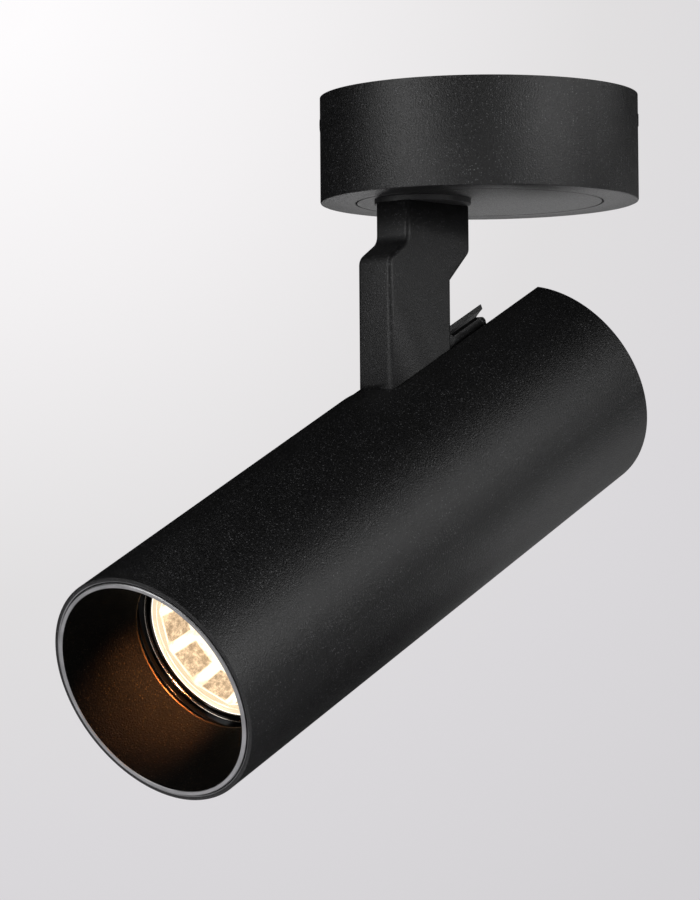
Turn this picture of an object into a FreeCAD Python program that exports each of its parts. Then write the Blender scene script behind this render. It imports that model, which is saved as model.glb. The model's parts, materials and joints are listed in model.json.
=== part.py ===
import FreeCAD, Part

import math
import os
import re
import Sketcher

# Surface mounted ceiling spotlight: a round ceiling box, a cranked flat arm that swivels under it,
# and a long tube with the lamp deep inside, which tilts on the end of the arm.
# Origin: centre of the ceiling box on the ceiling. Z is up, the tube aims towards -Y and down.
# Tube pieces are drawn in the tube's own frame: z runs from the rear end to the front, y is the
# tube's upper side and x runs across it. One placement then carries them all to the arm's end.

SIZES = [
    # ceiling box
    ("canopy_radius", 50.0, "outer radius of the ceiling box"),
    ("canopy_height", 33.3, "depth of the ceiling box below the ceiling"),
    ("canopy_wall", 1.8, "side wall of the ceiling box"),
    ("canopy_floor", 2.0, "underside of the ceiling box"),
    ("canopy_bevel", 0.5, "bevel round the lower edge"),
    ("disc_margin", 11.4, "from the disc let into the underside to the ceiling box's side"),
    ("disc_gap", 0.15, "joint line round the disc"),
    ("disc_lip", 4.4, "width of the lip that rests on the ceiling box"),
    ("disc_lip_thickness", 1.5, "thickness of that lip"),
    ("disc_screw_inset", 2.2, "from the lip's edge to its screws"),
    ("disc_screw_radius", 1.25, "screws of the disc"),
    ("disc_screw_head_radius", 2.1, "their heads"),
    ("disc_screw_head_height", 1.4, "height of those heads"),
    ("disc_screw_bite", 1.5, "how far they reach into the ceiling box"),
    ("plate_gap", 3.2, "ceiling plate inside the side wall"),
    ("plate_thickness", 1.5, "sheet of the ceiling plate"),
    ("lug_overlap", 9.0, "arms of the lugs inside the plate's edge"),
    ("lug_width", 12.0, "turned-down lugs of the ceiling plate"),
    ("lug_drop", 13.0, "how far the lugs reach down"),
    ("lug_gap", 0.4, "from a lug to the ceiling box"),
    ("lug_angle", 38.0, "direction of the lugs round the ceiling box"),
    ("side_screw_drop", 8.0, "side screws below the ceiling"),
    ("side_screw_radius", 2.0, "side screws"),
    ("side_screw_length", 6.6, "length of the side screws"),
    ("side_screw_proud", 0.16, "how far they stand out"),
    ("side_screw_fit", 0.15, "clearance round them in the ceiling box"),
    ("hex_socket", 1.15, "half the width of the small hexagon sockets"),
    ("socket_depth", 1.6, "depth of the small sockets and slots"),
    ("mount_spacing", 62.0, "between the two fixing slots"),
    ("mount_slot_radius", 2.25, "half the width of a fixing slot"),
    ("mount_slot_length", 10.0, "whole length of a fixing slot"),
    ("entry_radius", 9.0, "cable hole in the ceiling plate"),
    ("grommet_flange", 2.2, "flange of the grommet beyond its hole"),
    ("grommet_depth", 1.8, "thickness of that flange"),
    ("grommet_bore", 5.0, "radius of the cable's way through"),
    # terminal block
    ("block_length", 34.0, "terminal block, across"),
    ("block_width", 17.0, "terminal block, along the wires"),
    ("block_height", 13.0, "terminal block, downwards"),
    ("block_centre", 25.0, "from the ceiling box's axis to the block"),
    ("pole_pitch", 10.0, "between two poles"),
    ("pole_bore", 1.7, "wire way of a pole"),
    ("pole_screw_radius", 1.9, "clamping screws"),
    ("pole_screw_length", 4.5, "length of the clamping screws"),
    ("pole_screw_offset", 4.6, "clamping screws from the block's middle"),
    ("pole_screw_recess", 1.0, "how deep they sit"),
    ("driver_slot", 0.6, "width of their slots"),
    ("driver_slot_depth", 0.8, "depth of their slots"),
    ("fixing_radius", 1.4, "screws that hold the block"),
    ("fixing_head_radius", 2.3, "their heads"),
    ("fixing_head_height", 1.6, "height of those heads"),
    ("earth_across", -29.0, "earth screw, across"),
    ("earth_along", 12.0, "earth screw, along"),
    ("earth_radius", 2.0, "earth screw"),
    ("earth_head_radius", 3.8, "its head"),
    ("earth_head_height", 2.6, "height of the head"),
    ("earth_washer_radius", 4.8, "its washer"),
    ("earth_washer_thickness", 0.9, "thickness of the washer"),
    # swivel
    ("swivel_across", -6.1, "swivel axis from the ceiling box's axis, across"),
    ("swivel_inset", 29.75, "swivel axis behind the foremost point of the ceiling box"),
    ("collar_radius", 15.0, "round washer between ceiling box and arm"),
    ("collar_thickness", 1.6, "its thickness"),
    ("side_play", 0.05, "play between faces that turn on each other"),
    ("shaft_play", 0.05, "play round a turning shaft"),
    ("stud_radius", 5.0, "hollow stud of the swivel"),
    ("stud_bore", 2.6, "its way for the leads"),
    ("stud_depth", 14.0, "how far it is screwed into the arm"),
    ("stud_end", 1.5, "thread beyond the nut"),
    ("swivel_washer_radius", 11.0, "washer above the disc"),
    ("swivel_washer_thickness", 1.5, "its thickness"),
    ("spring_washer_radius", 8.6, "spring washer of the swivel"),
    ("spring_washer_thickness", 1.2, "its thickness"),
    ("swivel_nut_radius", 9.4, "nut of the swivel, over its corners"),
    ("swivel_nut_height", 5.0, "height of that nut"),
    # arm
    ("arm_thickness", 13.6, "arm, across"),
    ("arm_edge", 1.6, "rounding of the arm's edges"),
    ("neck_width", 29.9, "upper part of the arm, front to rear"),
    ("arm_width", 29.05, "lower part of the arm, front to rear"),
    ("arm_jog", 8.45, "how far the lower part stands further forwards"),
    ("shelf_drop", 47.4, "where the front starts to step out, below the ceiling"),
    ("shelf_angle", 34.0, "slope of that step"),
    ("shelf_round", 4.0, "rounding of the step"),
    ("heel_drop", 49.5, "where the rear steps in, below the ceiling"),
    ("heel_round", 3.0, "rounding above that step"),
    ("lead_way", 2.8, "radius of the lead's way down the arm"),
    ("pivot_drop", 99.6, "tilt axis below the ceiling"),
    ("eye_radius", 11.0, "rounded end of the arm about the tilt axis"),
    ("stop_face", 17.3, "from the tilt axis to the face that stops the tube's rise"),
    ("stop_face_low", 4.0, "where that face ends, above the tilt axis"),
    # tilt hinge
    ("rest_tilt", 27.0, "slope of the tube below the horizontal"),
    ("axle_radius", 5.5, "hollow tilt axle"),
    ("axle_bore", 2.6, "its way for the leads"),
    ("axle_end", 0.8, "axle beyond its nuts"),
    ("friction_washer_radius", 10.4, "friction washers beside the arm"),
    ("friction_washer_thickness", 1.0, "their thickness"),
    ("cheek_thickness", 2.0, "cheeks of the hinge bracket"),
    ("outer_washer_radius", 8.8, "washers outside the cheeks"),
    ("outer_washer_thickness", 1.0, "their thickness"),
    ("tilt_nut_radius", 9.2, "tilt nuts, over their corners"),
    ("tilt_nut_height", 4.0, "height of the tilt nuts"),
    ("lead_radius", 1.9, "sleeve of the leads"),
    ("lead_bend", 4.0, "bend of the sleeve inside the arm"),
    ("lead_wide_bend", 5.0, "bends of the sleeve outside the arm"),
    ("lead_clear_drop", 5.7, "sleeve above the tube's axis in front of the hinge"),
    ("lead_end_gap", 0.4, "sleeve's end from the terminal block"),
    # stop finger
    ("finger_inner", 2.8, "finger behind the arm, inner side from the middle"),
    ("finger_thickness", 2.4, "its thickness"),
    ("finger_height", 4.0, "its height"),
    ("finger_proud", 1.4, "how far it stands above the tube"),
    ("finger_tip", 27.0, "its tip from the tube's rear end"),
    ("foot_thickness", 2.0, "foot of the finger on the arm"),
    ("foot_half_width", 5.2, "half the width of the foot"),
    ("foot_low", 12.5, "lower end of the foot above the tilt axis"),
    ("foot_high", 24.0, "upper end of the foot above the tilt axis"),
    ("foot_screw_height", 16.0, "its screw above the tilt axis"),
    ("foot_screw_radius", 1.5, "that screw"),
    ("foot_screw_head_radius", 2.7, "its head"),
    ("foot_screw_head_height", 1.6, "height of its head"),
    ("foot_screw_bite", 2.6, "how far it reaches into the arm"),
    # tube
    ("tube_radius", 36.0, "outer radius of the tube"),
    ("tube_wall", 1.5, "wall of the tube"),
    ("tube_length", 206.9, "length of the tube"),
    ("tube_bevel", 0.3, "bevel of both rims"),
    ("pivot_from_rear", 61.6, "tilt axis from the rear end"),
    ("pivot_inset", 16.0, "tilt axis inside the tube's upper side"),
    ("slot_near", 7.1, "opening for the arm, edge on the near side"),
    ("slot_far", 18.5, "opening for the arm, edge on the far side"),
    ("slot_ahead", 0.6, "front end of the opening ahead of the arm's stop face"),
    # rear cap and hinge bracket
    ("cap_recess", 2.0, "rear cap inside the tube's end"),
    ("cap_thickness", 4.0, "rear cap"),
    ("cap_play", 0.1, "cap and rings in the tube's bore"),
    ("cap_slot_floor", 4.2, "bottom of the cap's slot above the tube's axis"),
    ("cap_slot_extra", 4.5, "cap's slot beyond the tube's opening on the far side"),
    ("cap_screw_radius", 1.5, "radial screws of the cap"),
    ("cap_screw_length", 6.0, "their length"),
    ("cap_socket", 0.8, "half the width of their hexagon sockets"),
    ("bracket_floor", 4.9, "top of the bracket's floor below the tube's axis"),
    ("bracket_sheet", 2.0, "sheet of the bracket"),
    ("cheek_half_length", 12.0, "half the length of a cheek along the tube"),
    ("flange_drop", 17.0, "flanges of the bracket below its floor"),
    ("flange_screw_drop", 9.0, "their screws below the floor"),
    ("flange_screw_across", 5.6, "their screws from the middle"),
    ("flange_screw_radius", 1.5, "those screws"),
    ("flange_screw_head_radius", 2.6, "their heads"),
    ("flange_screw_head_height", 1.5, "height of the heads"),
    # lamp can
    ("centring_width", 6.3, "space round the lamp can"),
    ("can_sheet", 1.0, "wall of the lamp can"),
    ("can_floor", 1.5, "floor of the lamp can"),
    ("can_vent_count", 8, "air slots round the can"),
    ("can_vent_width", 4.0, "width of an air slot"),
    ("can_vent_start", 12.0, "air slots from the can's floor"),
    ("can_vent_length", 26.0, "length of an air slot"),
    ("lead_hole", 4.0, "hole in the can's floor"),
    ("centring_thickness", 1.5, "ring that centres the can in the tube"),
    ("centring_setback", 3.0, "that ring behind the can's mouth"),
    ("holder_radius", 13.0, "lampholder"),
    ("holder_length", 19.6, "length of the lampholder"),
    ("holder_screw_across", 10.2, "screws of the lampholder from its axis"),
    ("holder_screw_radius", 1.4, "those screws"),
    ("pin_pitch", 10.0, "between the lamp's two pins"),
    ("pin_radius", 1.5, "shank of a pin"),
    ("pin_head_radius", 2.5, "foot of a pin"),
    ("pin_head_height", 2.4, "height of that foot"),
    ("pin_length", 7.4, "length of a pin"),
    ("pin_fit", 0.3, "clearance round a pin's foot"),
    ("contact_thickness", 0.6, "contacts in the lampholder"),
    # lamp
    ("lamp_recess", 30.2, "lamp's rim behind the tube's front end"),
    ("lamp_gap", 2.2, "space round the lamp's rim in the can"),
    ("lamp_length", 46.6, "lamp from rim to base"),
    ("lamp_rim_height", 2.6, "straight part of the rim"),
    ("lamp_glass_wall", 1.4, "glass of the reflector"),
    ("lamp_cup_radius", 8.1, "bottom of the reflector's cup"),
    ("lamp_neck_radius", 12.3, "lamp's base"),
    ("lamp_base_length", 15.0, "length of the base"),
    ("lamp_base_gap", 0.4, "from the base to the lampholder"),
    ("lamp_curve", 42.0, "curve of the reflector's back"),
    ("cover_thickness", 1.3, "front glass of the lamp"),
    ("cover_setback", 0.2, "front glass behind the rim"),
    ("capsule_radius", 4.6, "burner of the lamp"),
    ("capsule_length", 17.0, "length of the burner"),
    ("ring_overlap", 0.6, "lamp ring over the lamp's rim"),
    ("ring_height", 2.4, "lamp ring, height"),
    # baffle
    ("baffle_play", 0.3, "joint line round the baffle"),
    ("baffle_proud", 0.5, "baffle in front of the tube"),
    ("baffle_rim", 1.35, "width of the baffle's front rim"),
    ("baffle_depth", 24.8, "depth of the cone"),
    ("mouth_step", 2.85, "cone's rear end inside the lamp can's radius"),
    ("baffle_wall", 1.4, "wall of the cone"),
    ("skirt_length", 15.4, "skirt of the baffle in the tube"),
    ("skirt_wall", 2.0, "wall of the skirt"),
    ("seal_width", 1.6, "groove of the holding ring"),
    ("seal_depth", 1.0, "depth of that groove"),
    ("seal_setback", 11.0, "groove behind the tube's front end"),
]

# Sizes that follow from others, so that the pieces keep together when one of them changes.
DERIVED = {
    "disc_radius": "canopy_radius - disc_margin",
    "plate_radius": "canopy_radius - canopy_wall - plate_gap",
    "lug_root": "plate_radius - lug_overlap",
    "swivel_forward": "canopy_radius - swivel_inset",
    "pivot_above_axis": "tube_radius - pivot_inset",
    "can_radius": "tube_radius - tube_wall - centring_width",
    "can_start": "tube_length - lamp_recess - lamp_length - lamp_base_gap - holder_length - can_floor",
    "lamp_radius": "can_radius - can_sheet - lamp_gap",
    "ring_inner": "lamp_radius - ring_overlap",
    "baffle_mouth": "can_radius - mouth_step",
}

doc = FreeCAD.newDocument("ceiling_spotlight")
sheet = doc.addObject("Spreadsheet::Sheet", "Sizes")
for row, (alias, value, note) in enumerate(SIZES, start=1):
    sheet.set("A%d" % row, alias)
    sheet.set("B%d" % row, str(value))
    sheet.set("C%d" % row, note)
    sheet.setAlias("B%d" % row, alias)
doc.recompute()
ALIASES = {alias for alias, value, note in SIZES}


def formula(text):
    """Point the names of sizes in a formula at the sheet, with the derived ones written out."""
    def pointed(word):
        name = word.group()
        if name in DERIVED:
            return "(" + formula(DERIVED[name]) + ")"
        return "Sizes." + name if name in ALIASES else name
    return re.sub(r"[a-z_]+", pointed, text)


def number(text):
    return float(sheet.evalExpression(formula(str(text))))


def bind(thing, name, text):
    thing.setExpression(name, formula(str(text)))


# ---------------------------------------------------------------- where pieces are carried
X_AXIS = FreeCAD.Vector(1, 0, 0)
Y_AXIS = FreeCAD.Vector(0, 1, 0)
Z_AXIS = FreeCAD.Vector(0, 0, 1)

BORE = "(tube_radius - tube_wall)"
HEAD_Y = "(-swivel_forward + pivot_from_rear * cos(rest_tilt) + pivot_above_axis * sin(rest_tilt))"
HEAD_Z = "(-pivot_drop + pivot_from_rear * sin(rest_tilt) - pivot_above_axis * cos(rest_tilt))"
ON_CEILING = ("0", "0", "0", X_AXIS, "0")
ON_SWIVEL = ("swivel_across", "-swivel_forward", "0", X_AXIS, "0")
ON_PIVOT = ("swivel_across", "-swivel_forward", "-pivot_drop", X_AXIS, "0")
ON_HEAD = ("swivel_across", HEAD_Y, HEAD_Z, X_AXIS, "90 + rest_tilt")


def carry(thing, spot):
    """Give a piece its placement: three offsets, an axis and an angle."""
    x, y, z, axis, angle = spot
    thing.Placement = FreeCAD.Placement(FreeCAD.Vector(), FreeCAD.Rotation(axis, 1))
    bind(thing, ".Placement.Base.x", x)
    bind(thing, ".Placement.Base.y", y)
    bind(thing, ".Placement.Base.z", z)
    bind(thing, ".Placement.Rotation.Angle", angle)
    return thing


# ---------------------------------------------------------------- plain solids
LIE = {"z": (X_AXIS, "0"), "x": (Y_AXIS, "90"), "y": (X_AXIS, "-90")}


def rod(radius, length, x="0", y="0", z="0", along="z"):
    """A cylinder whose first end is centred on the point given."""
    made = doc.addObject("Part::Cylinder", "Rod")
    bind(made, "Radius", radius)
    bind(made, "Height", length)
    return carry(made, (x, y, z) + LIE[along])


def hexagon(radius, length, x="0", y="0", z="0", along="z"):
    made = doc.addObject("Part::Prism", "Hexagon")
    made.Polygon = 6
    bind(made, "Circumradius", radius)
    bind(made, "Height", length)
    return carry(made, (x, y, z) + LIE[along])


def block(x_from, x_to, y_from, y_to, z_from, z_to):
    """A box between two values on each axis."""
    made = doc.addObject("Part::Box", "Block")
    bind(made, "Length", "(%s) - (%s)" % (x_to, x_from))
    bind(made, "Width", "(%s) - (%s)" % (y_to, y_from))
    bind(made, "Height", "(%s) - (%s)" % (z_to, z_from))
    return carry(made, (x_from, y_from, z_from, X_AXIS, "0"))


def joined(parts):
    if len(parts) == 1:
        return parts[0]
    made = doc.addObject("Part::MultiFuse", "Joined")
    made.Shapes = parts
    made.Refine = True
    return made


def cut(base, tools):
    made = doc.addObject("Part::Cut", "Cut")
    made.Base = base
    made.Tool = joined(tools)
    made.Refine = True
    return made


def ring(outer, inner, length, x="0", y="0", z="0", along="z"):
    return cut(rod(outer, length, x, y, z, along), [rod(inner, length, x, y, z, along)])


def moved(part, spot):
    """One more placement round a part that already has its own."""
    made = doc.addObject("Part::Compound", "Moved")
    made.Links = [part]
    return carry(made, spot)


# ---------------------------------------------------------------- sketched bodies
def plane_of(body, role):
    return [feature for feature in body.Origin.OriginFeatures if feature.Role == role][0]


def outline(body, role, corners):
    """A closed sketch through corners (across, up), each bound to the sheet.

    A corner with a third value is reached from the one before along an arc of that radius, which
    bulges to the right of the way it runs."""
    sketch = body.newObject("Sketcher::SketchObject", "Outline")
    sketch.AttachmentSupport = [(plane_of(body, role), "")]
    sketch.MapMode = "FlatFace"
    points = [FreeCAD.Vector(number(corner[0]), number(corner[1]), 0) for corner in corners]
    count = len(corners)
    # Each piece of the outline has its two ends numbered 1 and 2. These pairs say which end comes
    # first on the way round, as an arc may be stored the other way about.
    ends_in_order = []
    for index in range(count):
        start = points[index]
        end = points[(index + 1) % count]
        target = corners[(index + 1) % count]
        if len(target) == 2:
            sketch.addGeometry(Part.LineSegment(start, end), False)
            ends_in_order.append((1, 2))
            continue
        chord = end - start
        radius = number(target[2])
        side = FreeCAD.Vector(chord.y, -chord.x, 0).normalize()
        rise = radius - (radius ** 2 - chord.Length ** 2 / 4) ** 0.5
        middle = (start + end) / 2 + side * rise
        sketch.addGeometry(Part.Arc(start, middle, end), False)
        ends_in_order.append((1, 2))
    for index in range(count):
        drawn = sketch.Geometry[index]
        if drawn.TypeId == "Part::GeomArcOfCircle":
            runs_forward = (drawn.StartPoint - points[index]).Length < 1e-6
            ends_in_order[index] = (1, 2) if runs_forward else (2, 1)
    for index in range(count):
        following = (index + 1) % count
        joint = Sketcher.Constraint("Coincident", index, ends_in_order[index][1],
                                    following, ends_in_order[following][0])
        sketch.addConstraint(joint)
    for index, corner in enumerate(corners):
        for kind, text in (("DistanceX", corner[0]), ("DistanceY", corner[1])):
            end_point = ends_in_order[index][0]
            place = sketch.addConstraint(Sketcher.Constraint(kind, -1, 1, index, end_point, number(text)))
            bind(sketch, "Constraints[%d]" % place, text)
        if len(corners[(index + 1) % count]) == 3:
            text = corners[(index + 1) % count][2]
            place = sketch.addConstraint(Sketcher.Constraint("Radius", index, number(text)))
            bind(sketch, "Constraints[%d]" % place, text)
    return sketch


def turned(name, corners):
    """A body turned about z from corners (radius, height)."""
    body = doc.addObject("PartDesign::Body", name)
    sketch = outline(body, "XZ_Plane", corners)
    turn = body.newObject("PartDesign::Revolution", "Turn")
    turn.Profile = sketch
    turn.ReferenceAxis = (sketch, ["V_Axis"])
    turn.Angle = 360
    doc.recompute()
    return body


HALF_TURNS = ("0", "180")
DISC_SCREW_TURNS = ("90", "210", "330")
CAP_SCREW_TURNS = ("150", "270")
PIECES = []


def spun(part, angle):
    """A part turned about the z axis."""
    return moved(part, ("0", "0", "0", Z_AXIS, angle))


def piece(label, part, spot):
    """Take a part, or several separate solids, as one named piece of the lamp."""
    members = part if isinstance(part, list) else [part]
    made = doc.addObject("Part::Compound", "Piece")
    made.Links = members
    made.Label = label
    carry(made, spot)
    PIECES.append(made)
    return made


# ================================================================ ceiling box
FLOOR_TOP = "(-canopy_height + canopy_floor)"
DISC_TOP = "(-canopy_height + canopy_floor + disc_lip_thickness)"
SHELL_INSIDE = "(canopy_radius - canopy_wall)"
DISC_SCREW_RING = "(disc_radius + disc_lip - disc_screw_inset)"

side_ways = []
for half in HALF_TURNS:
    hole = rod("side_screw_radius + side_screw_fit", "canopy_wall * 3",
               SHELL_INSIDE + " - canopy_wall", "0", "-side_screw_drop", "x")
    side_ways.append(spun(hole, "lug_angle + " + half))
disc_screw_ways = []
for turn_to in DISC_SCREW_TURNS:
    hole = rod("disc_screw_radius", "disc_screw_bite", DISC_SCREW_RING, "0",
               FLOOR_TOP + " - disc_screw_bite")
    disc_screw_ways.append(spun(hole, turn_to))
shell = turned("Shell", [
    ("canopy_radius", "0"),
    (SHELL_INSIDE, "0"),
    (SHELL_INSIDE, FLOOR_TOP),
    ("disc_radius + disc_gap", FLOOR_TOP),
    ("disc_radius + disc_gap", "-canopy_height"),
    ("canopy_radius - canopy_bevel", "-canopy_height"),
    ("canopy_radius", "-canopy_height + canopy_bevel"),
])
piece("canopy_shell", cut(shell, side_ways + disc_screw_ways), ON_CEILING)

disc = turned("Disc", [
    ("0", "-canopy_height"),
    ("disc_radius", "-canopy_height"),
    ("disc_radius", FLOOR_TOP),
    ("disc_radius + disc_lip", FLOOR_TOP),
    ("disc_radius + disc_lip", DISC_TOP),
    ("0", DISC_TOP),
])
disc_holes = [rod("stud_radius + shaft_play", "canopy_height", "swivel_across", "-swivel_forward",
                  "-canopy_height")]
for turn_to in DISC_SCREW_TURNS:
    hole = rod("disc_screw_radius", "disc_lip_thickness", DISC_SCREW_RING, "0", FLOOR_TOP)
    disc_holes.append(spun(hole, turn_to))
piece("canopy_disc", cut(disc, disc_holes), ON_CEILING)

disc_screws = []
for turn_to in DISC_SCREW_TURNS:
    shank = rod("disc_screw_radius", "disc_screw_bite + disc_lip_thickness", DISC_SCREW_RING, "0",
                FLOOR_TOP + " - disc_screw_bite")
    head = rod("disc_screw_head_radius", "disc_screw_head_height", DISC_SCREW_RING, "0", DISC_TOP)
    disc_screws.append(spun(joined([shank, head]), turn_to))
piece("disc_screws", disc_screws, ON_CEILING)

# Ceiling plate with two fixing slots, a cable hole and two turned-down lugs.
LUG_OUTSIDE = "(canopy_radius - canopy_wall - lug_gap)"
sheet_disc = rod("plate_radius", "plate_thickness", "0", "0", "-plate_thickness")
plate_parts = [sheet_disc]
for half in HALF_TURNS:
    arm_of_lug = block("lug_root", LUG_OUTSIDE, "-lug_width / 2", "lug_width / 2", "-plate_thickness", "0")
    lug = block(LUG_OUTSIDE + " - plate_thickness", LUG_OUTSIDE, "-lug_width / 2", "lug_width / 2",
                "-lug_drop", "0")
    plate_parts.append(spun(joined([arm_of_lug, lug]), "lug_angle + " + half))
plate_cuts = [rod("entry_radius", "plate_thickness", "0", "0", "-plate_thickness")]
SLOT_REACH = "(mount_slot_length / 2 - mount_slot_radius)"
for side in ("", "-"):
    middle = side + "mount_spacing / 2"
    plate_cuts.append(block(middle + " - " + SLOT_REACH, middle + " + " + SLOT_REACH,
                            "-mount_slot_radius", "mount_slot_radius", "-plate_thickness", "0"))
    for end in (" + ", " - "):
        round_end = middle + end + SLOT_REACH
        plate_cuts.append(rod("mount_slot_radius", "plate_thickness", round_end, "0", "-plate_thickness"))
for half in HALF_TURNS:
    thread = rod("side_screw_radius", "lug_gap + plate_thickness * 2",
                 LUG_OUTSIDE + " - plate_thickness * 1.5", "0", "-side_screw_drop", "x")
    plate_cuts.append(spun(thread, "lug_angle + " + half))
for side in ("", "-"):
    plate_cuts.append(rod("fixing_radius", "plate_thickness", side + "pole_pitch / 2", "block_centre",
                          "-plate_thickness"))
plate_cuts.append(rod("earth_radius", "plate_thickness", "earth_across", "earth_along", "-plate_thickness"))
piece("ceiling_plate", cut(joined(plate_parts), plate_cuts), ON_CEILING)

side_screws = []
for half in HALF_TURNS:
    outer_end = "(canopy_radius + side_screw_proud)"
    body = rod("side_screw_radius", "side_screw_length", outer_end + " - side_screw_length", "0",
               "-side_screw_drop", "x")
    socket = hexagon("hex_socket", "socket_depth", outer_end + " - socket_depth", "0",
                     "-side_screw_drop", "x")
    side_screws.append(spun(cut(body, [socket]), "lug_angle + " + half))
piece("side_screws", side_screws, ON_CEILING)

grommet_sleeve = ring("entry_radius", "grommet_bore", "plate_thickness", "0", "0", "-plate_thickness")
grommet_flange = ring("entry_radius + grommet_flange", "grommet_bore", "grommet_depth", "0", "0",
                      "-plate_thickness - grommet_depth")
piece("cable_grommet", joined([grommet_sleeve, grommet_flange]), ON_CEILING)

# Terminal block with three poles.
BLOCK_BOTTOM = "(-plate_thickness - block_height)"
BLOCK_FRONT = "(block_centre - block_width / 2)"
case = block("-block_length / 2", "block_length / 2", BLOCK_FRONT, "block_centre + block_width / 2",
             BLOCK_BOTTOM, "-plate_thickness")
POLES = ("-pole_pitch", "0", "pole_pitch")
WIRE_HEIGHT = "(-plate_thickness - block_height / 2)"
case_cuts = [rod("pole_bore", "block_width", pole, BLOCK_FRONT, WIRE_HEIGHT, "y") for pole in POLES]
pole_screws = []
for pole in POLES:
    for end in ("", "-"):
        along = "block_centre + (" + end + "pole_screw_offset)"
        case_cuts.append(rod("pole_screw_radius", "pole_screw_length + pole_screw_recess",
                             pole, along, BLOCK_BOTTOM))
        slot_bottom = BLOCK_BOTTOM + " + pole_screw_recess"
        screw = rod("pole_screw_radius", "pole_screw_length", pole, along, slot_bottom)
        slot = block("(%s) - pole_screw_radius" % pole, "(%s) + pole_screw_radius" % pole,
                     along + " - driver_slot / 2", along + " + driver_slot / 2",
                     slot_bottom, slot_bottom + " + driver_slot_depth")
        pole_screws.append(cut(screw, [slot]))
fixings = []
for side in ("", "-"):
    across = side + "pole_pitch / 2"
    case_cuts.append(rod("fixing_radius", "block_height", across, "block_centre", BLOCK_BOTTOM))
    shank = rod("fixing_radius", "block_height + plate_thickness", across, "block_centre", BLOCK_BOTTOM)
    head = rod("fixing_head_radius", "fixing_head_height", across, "block_centre",
               BLOCK_BOTTOM + " - fixing_head_height")
    fixings.append(joined([shank, head]))
piece("terminal_block", cut(case, case_cuts), ON_CEILING)
piece("terminal_screws", pole_screws, ON_CEILING)
piece("block_fixing_screws", fixings, ON_CEILING)

EARTH_HEAD_TOP = "(-plate_thickness - earth_washer_thickness)"
earth_shank = rod("earth_radius", "plate_thickness + earth_washer_thickness", "earth_across", "earth_along",
                  EARTH_HEAD_TOP)
earth_head = rod("earth_head_radius", "earth_head_height", "earth_across", "earth_along",
                 EARTH_HEAD_TOP + " - earth_head_height")
piece("earth_screw", joined([earth_shank, earth_head]), ON_CEILING)
piece("earth_washer", ring("earth_washer_radius", "earth_radius", "earth_washer_thickness",
                           "earth_across", "earth_along", EARTH_HEAD_TOP), ON_CEILING)


# ---------------------------------------------------------------- leads
def lead(corners, radius):
    """A round sleeve along straight runs joined by tangent arcs, through (x, y, z, bend) corners."""
    points = [FreeCAD.Vector(*[number(value) for value in corner[:3]]) for corner in corners]
    edges = []
    start = points[0]
    for index in range(1, len(points) - 1):
        before = (points[index - 1] - points[index]).normalize()
        after = (points[index + 1] - points[index]).normalize()
        half_turn = (before.getAngle(after)) / 2
        bend = number(corners[index][3])
        reach = bend / math.tan(half_turn)
        first = points[index] + before * reach
        last = points[index] + after * reach
        towards = (before + after).normalize()
        centre_reach = (reach ** 2 + bend ** 2) ** 0.5
        middle = points[index] + towards * (centre_reach - bend)
        edges.append(Part.LineSegment(start, first).toShape())
        edges.append(Part.Arc(first, middle, last).toShape())
        start = last
    edges.append(Part.LineSegment(start, points[-1]).toShape())
    path = Part.Wire(edges)
    first_run = (points[1] - points[0]).normalize()
    section = Part.Wire([Part.makeCircle(number(radius), points[0], first_run)])
    made = doc.addObject("Part::Feature", "Lead")
    made.Shape = path.makePipeShell([section], True, False)
    return made


# ================================================================ swivel
SWIVEL_STACK = "swivel_washer_thickness + spring_washer_thickness + swivel_nut_height"
STUD_TOP = "(%s + side_play + %s + stud_end)" % (DISC_TOP, SWIVEL_STACK)
COLLAR_TOP = "(-canopy_height - side_play)"
ARM_TOP = "(%s - collar_thickness)" % COLLAR_TOP
STUD_FOOT = "(%s - stud_depth)" % ARM_TOP
WASHER_Z = "(%s + side_play)" % DISC_TOP
SPRING_Z = "(%s + swivel_washer_thickness)" % WASHER_Z
NUT_Z = "(%s + spring_washer_thickness)" % SPRING_Z

piece("swivel_collar", ring("collar_radius", "stud_radius", "collar_thickness", "0", "0", ARM_TOP), ON_SWIVEL)
stud = ring("stud_radius", "stud_bore", "(%s) - (%s)" % (STUD_TOP, STUD_FOOT), "0", "0", STUD_FOOT)
piece("swivel_stud", stud, ON_SWIVEL)
washer = ring("swivel_washer_radius", "stud_radius", "swivel_washer_thickness", "0", "0", WASHER_Z)
piece("swivel_washer", washer, ON_SWIVEL)
spring_washer = ring("spring_washer_radius", "stud_radius", "spring_washer_thickness", "0", "0", SPRING_Z)
piece("swivel_spring_washer", spring_washer, ON_SWIVEL)
swivel_nut = cut(hexagon("swivel_nut_radius", "swivel_nut_height", "0", "0", NUT_Z),
                 [rod("stud_radius", "swivel_nut_height", "0", "0", NUT_Z)])
piece("swivel_nut", swivel_nut, ON_SWIVEL)

# ================================================================ arm
# Drawn about the tilt axis: y runs to the rear, z up.
NECK_FRONT = "(-neck_width / 2)"
NECK_REAR = "(neck_width / 2)"
ARM_FRONT = "(-neck_width / 2 - arm_jog)"
ARM_REAR = "(-neck_width / 2 - arm_jog + arm_width)"
TOP = "(%s + pivot_drop)" % ARM_TOP
SHELF = "(pivot_drop - shelf_drop)"
HEEL = "(pivot_drop - heel_drop)"
STOP_Y = "(-stop_face * cos(rest_tilt) - stop_face_low * sin(rest_tilt))"
STOP_Z = "(-stop_face * sin(rest_tilt) + stop_face_low * cos(rest_tilt))"
STOP_START = "((-%s * cos(rest_tilt) - stop_face) / sin(rest_tilt))" % ARM_FRONT

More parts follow.
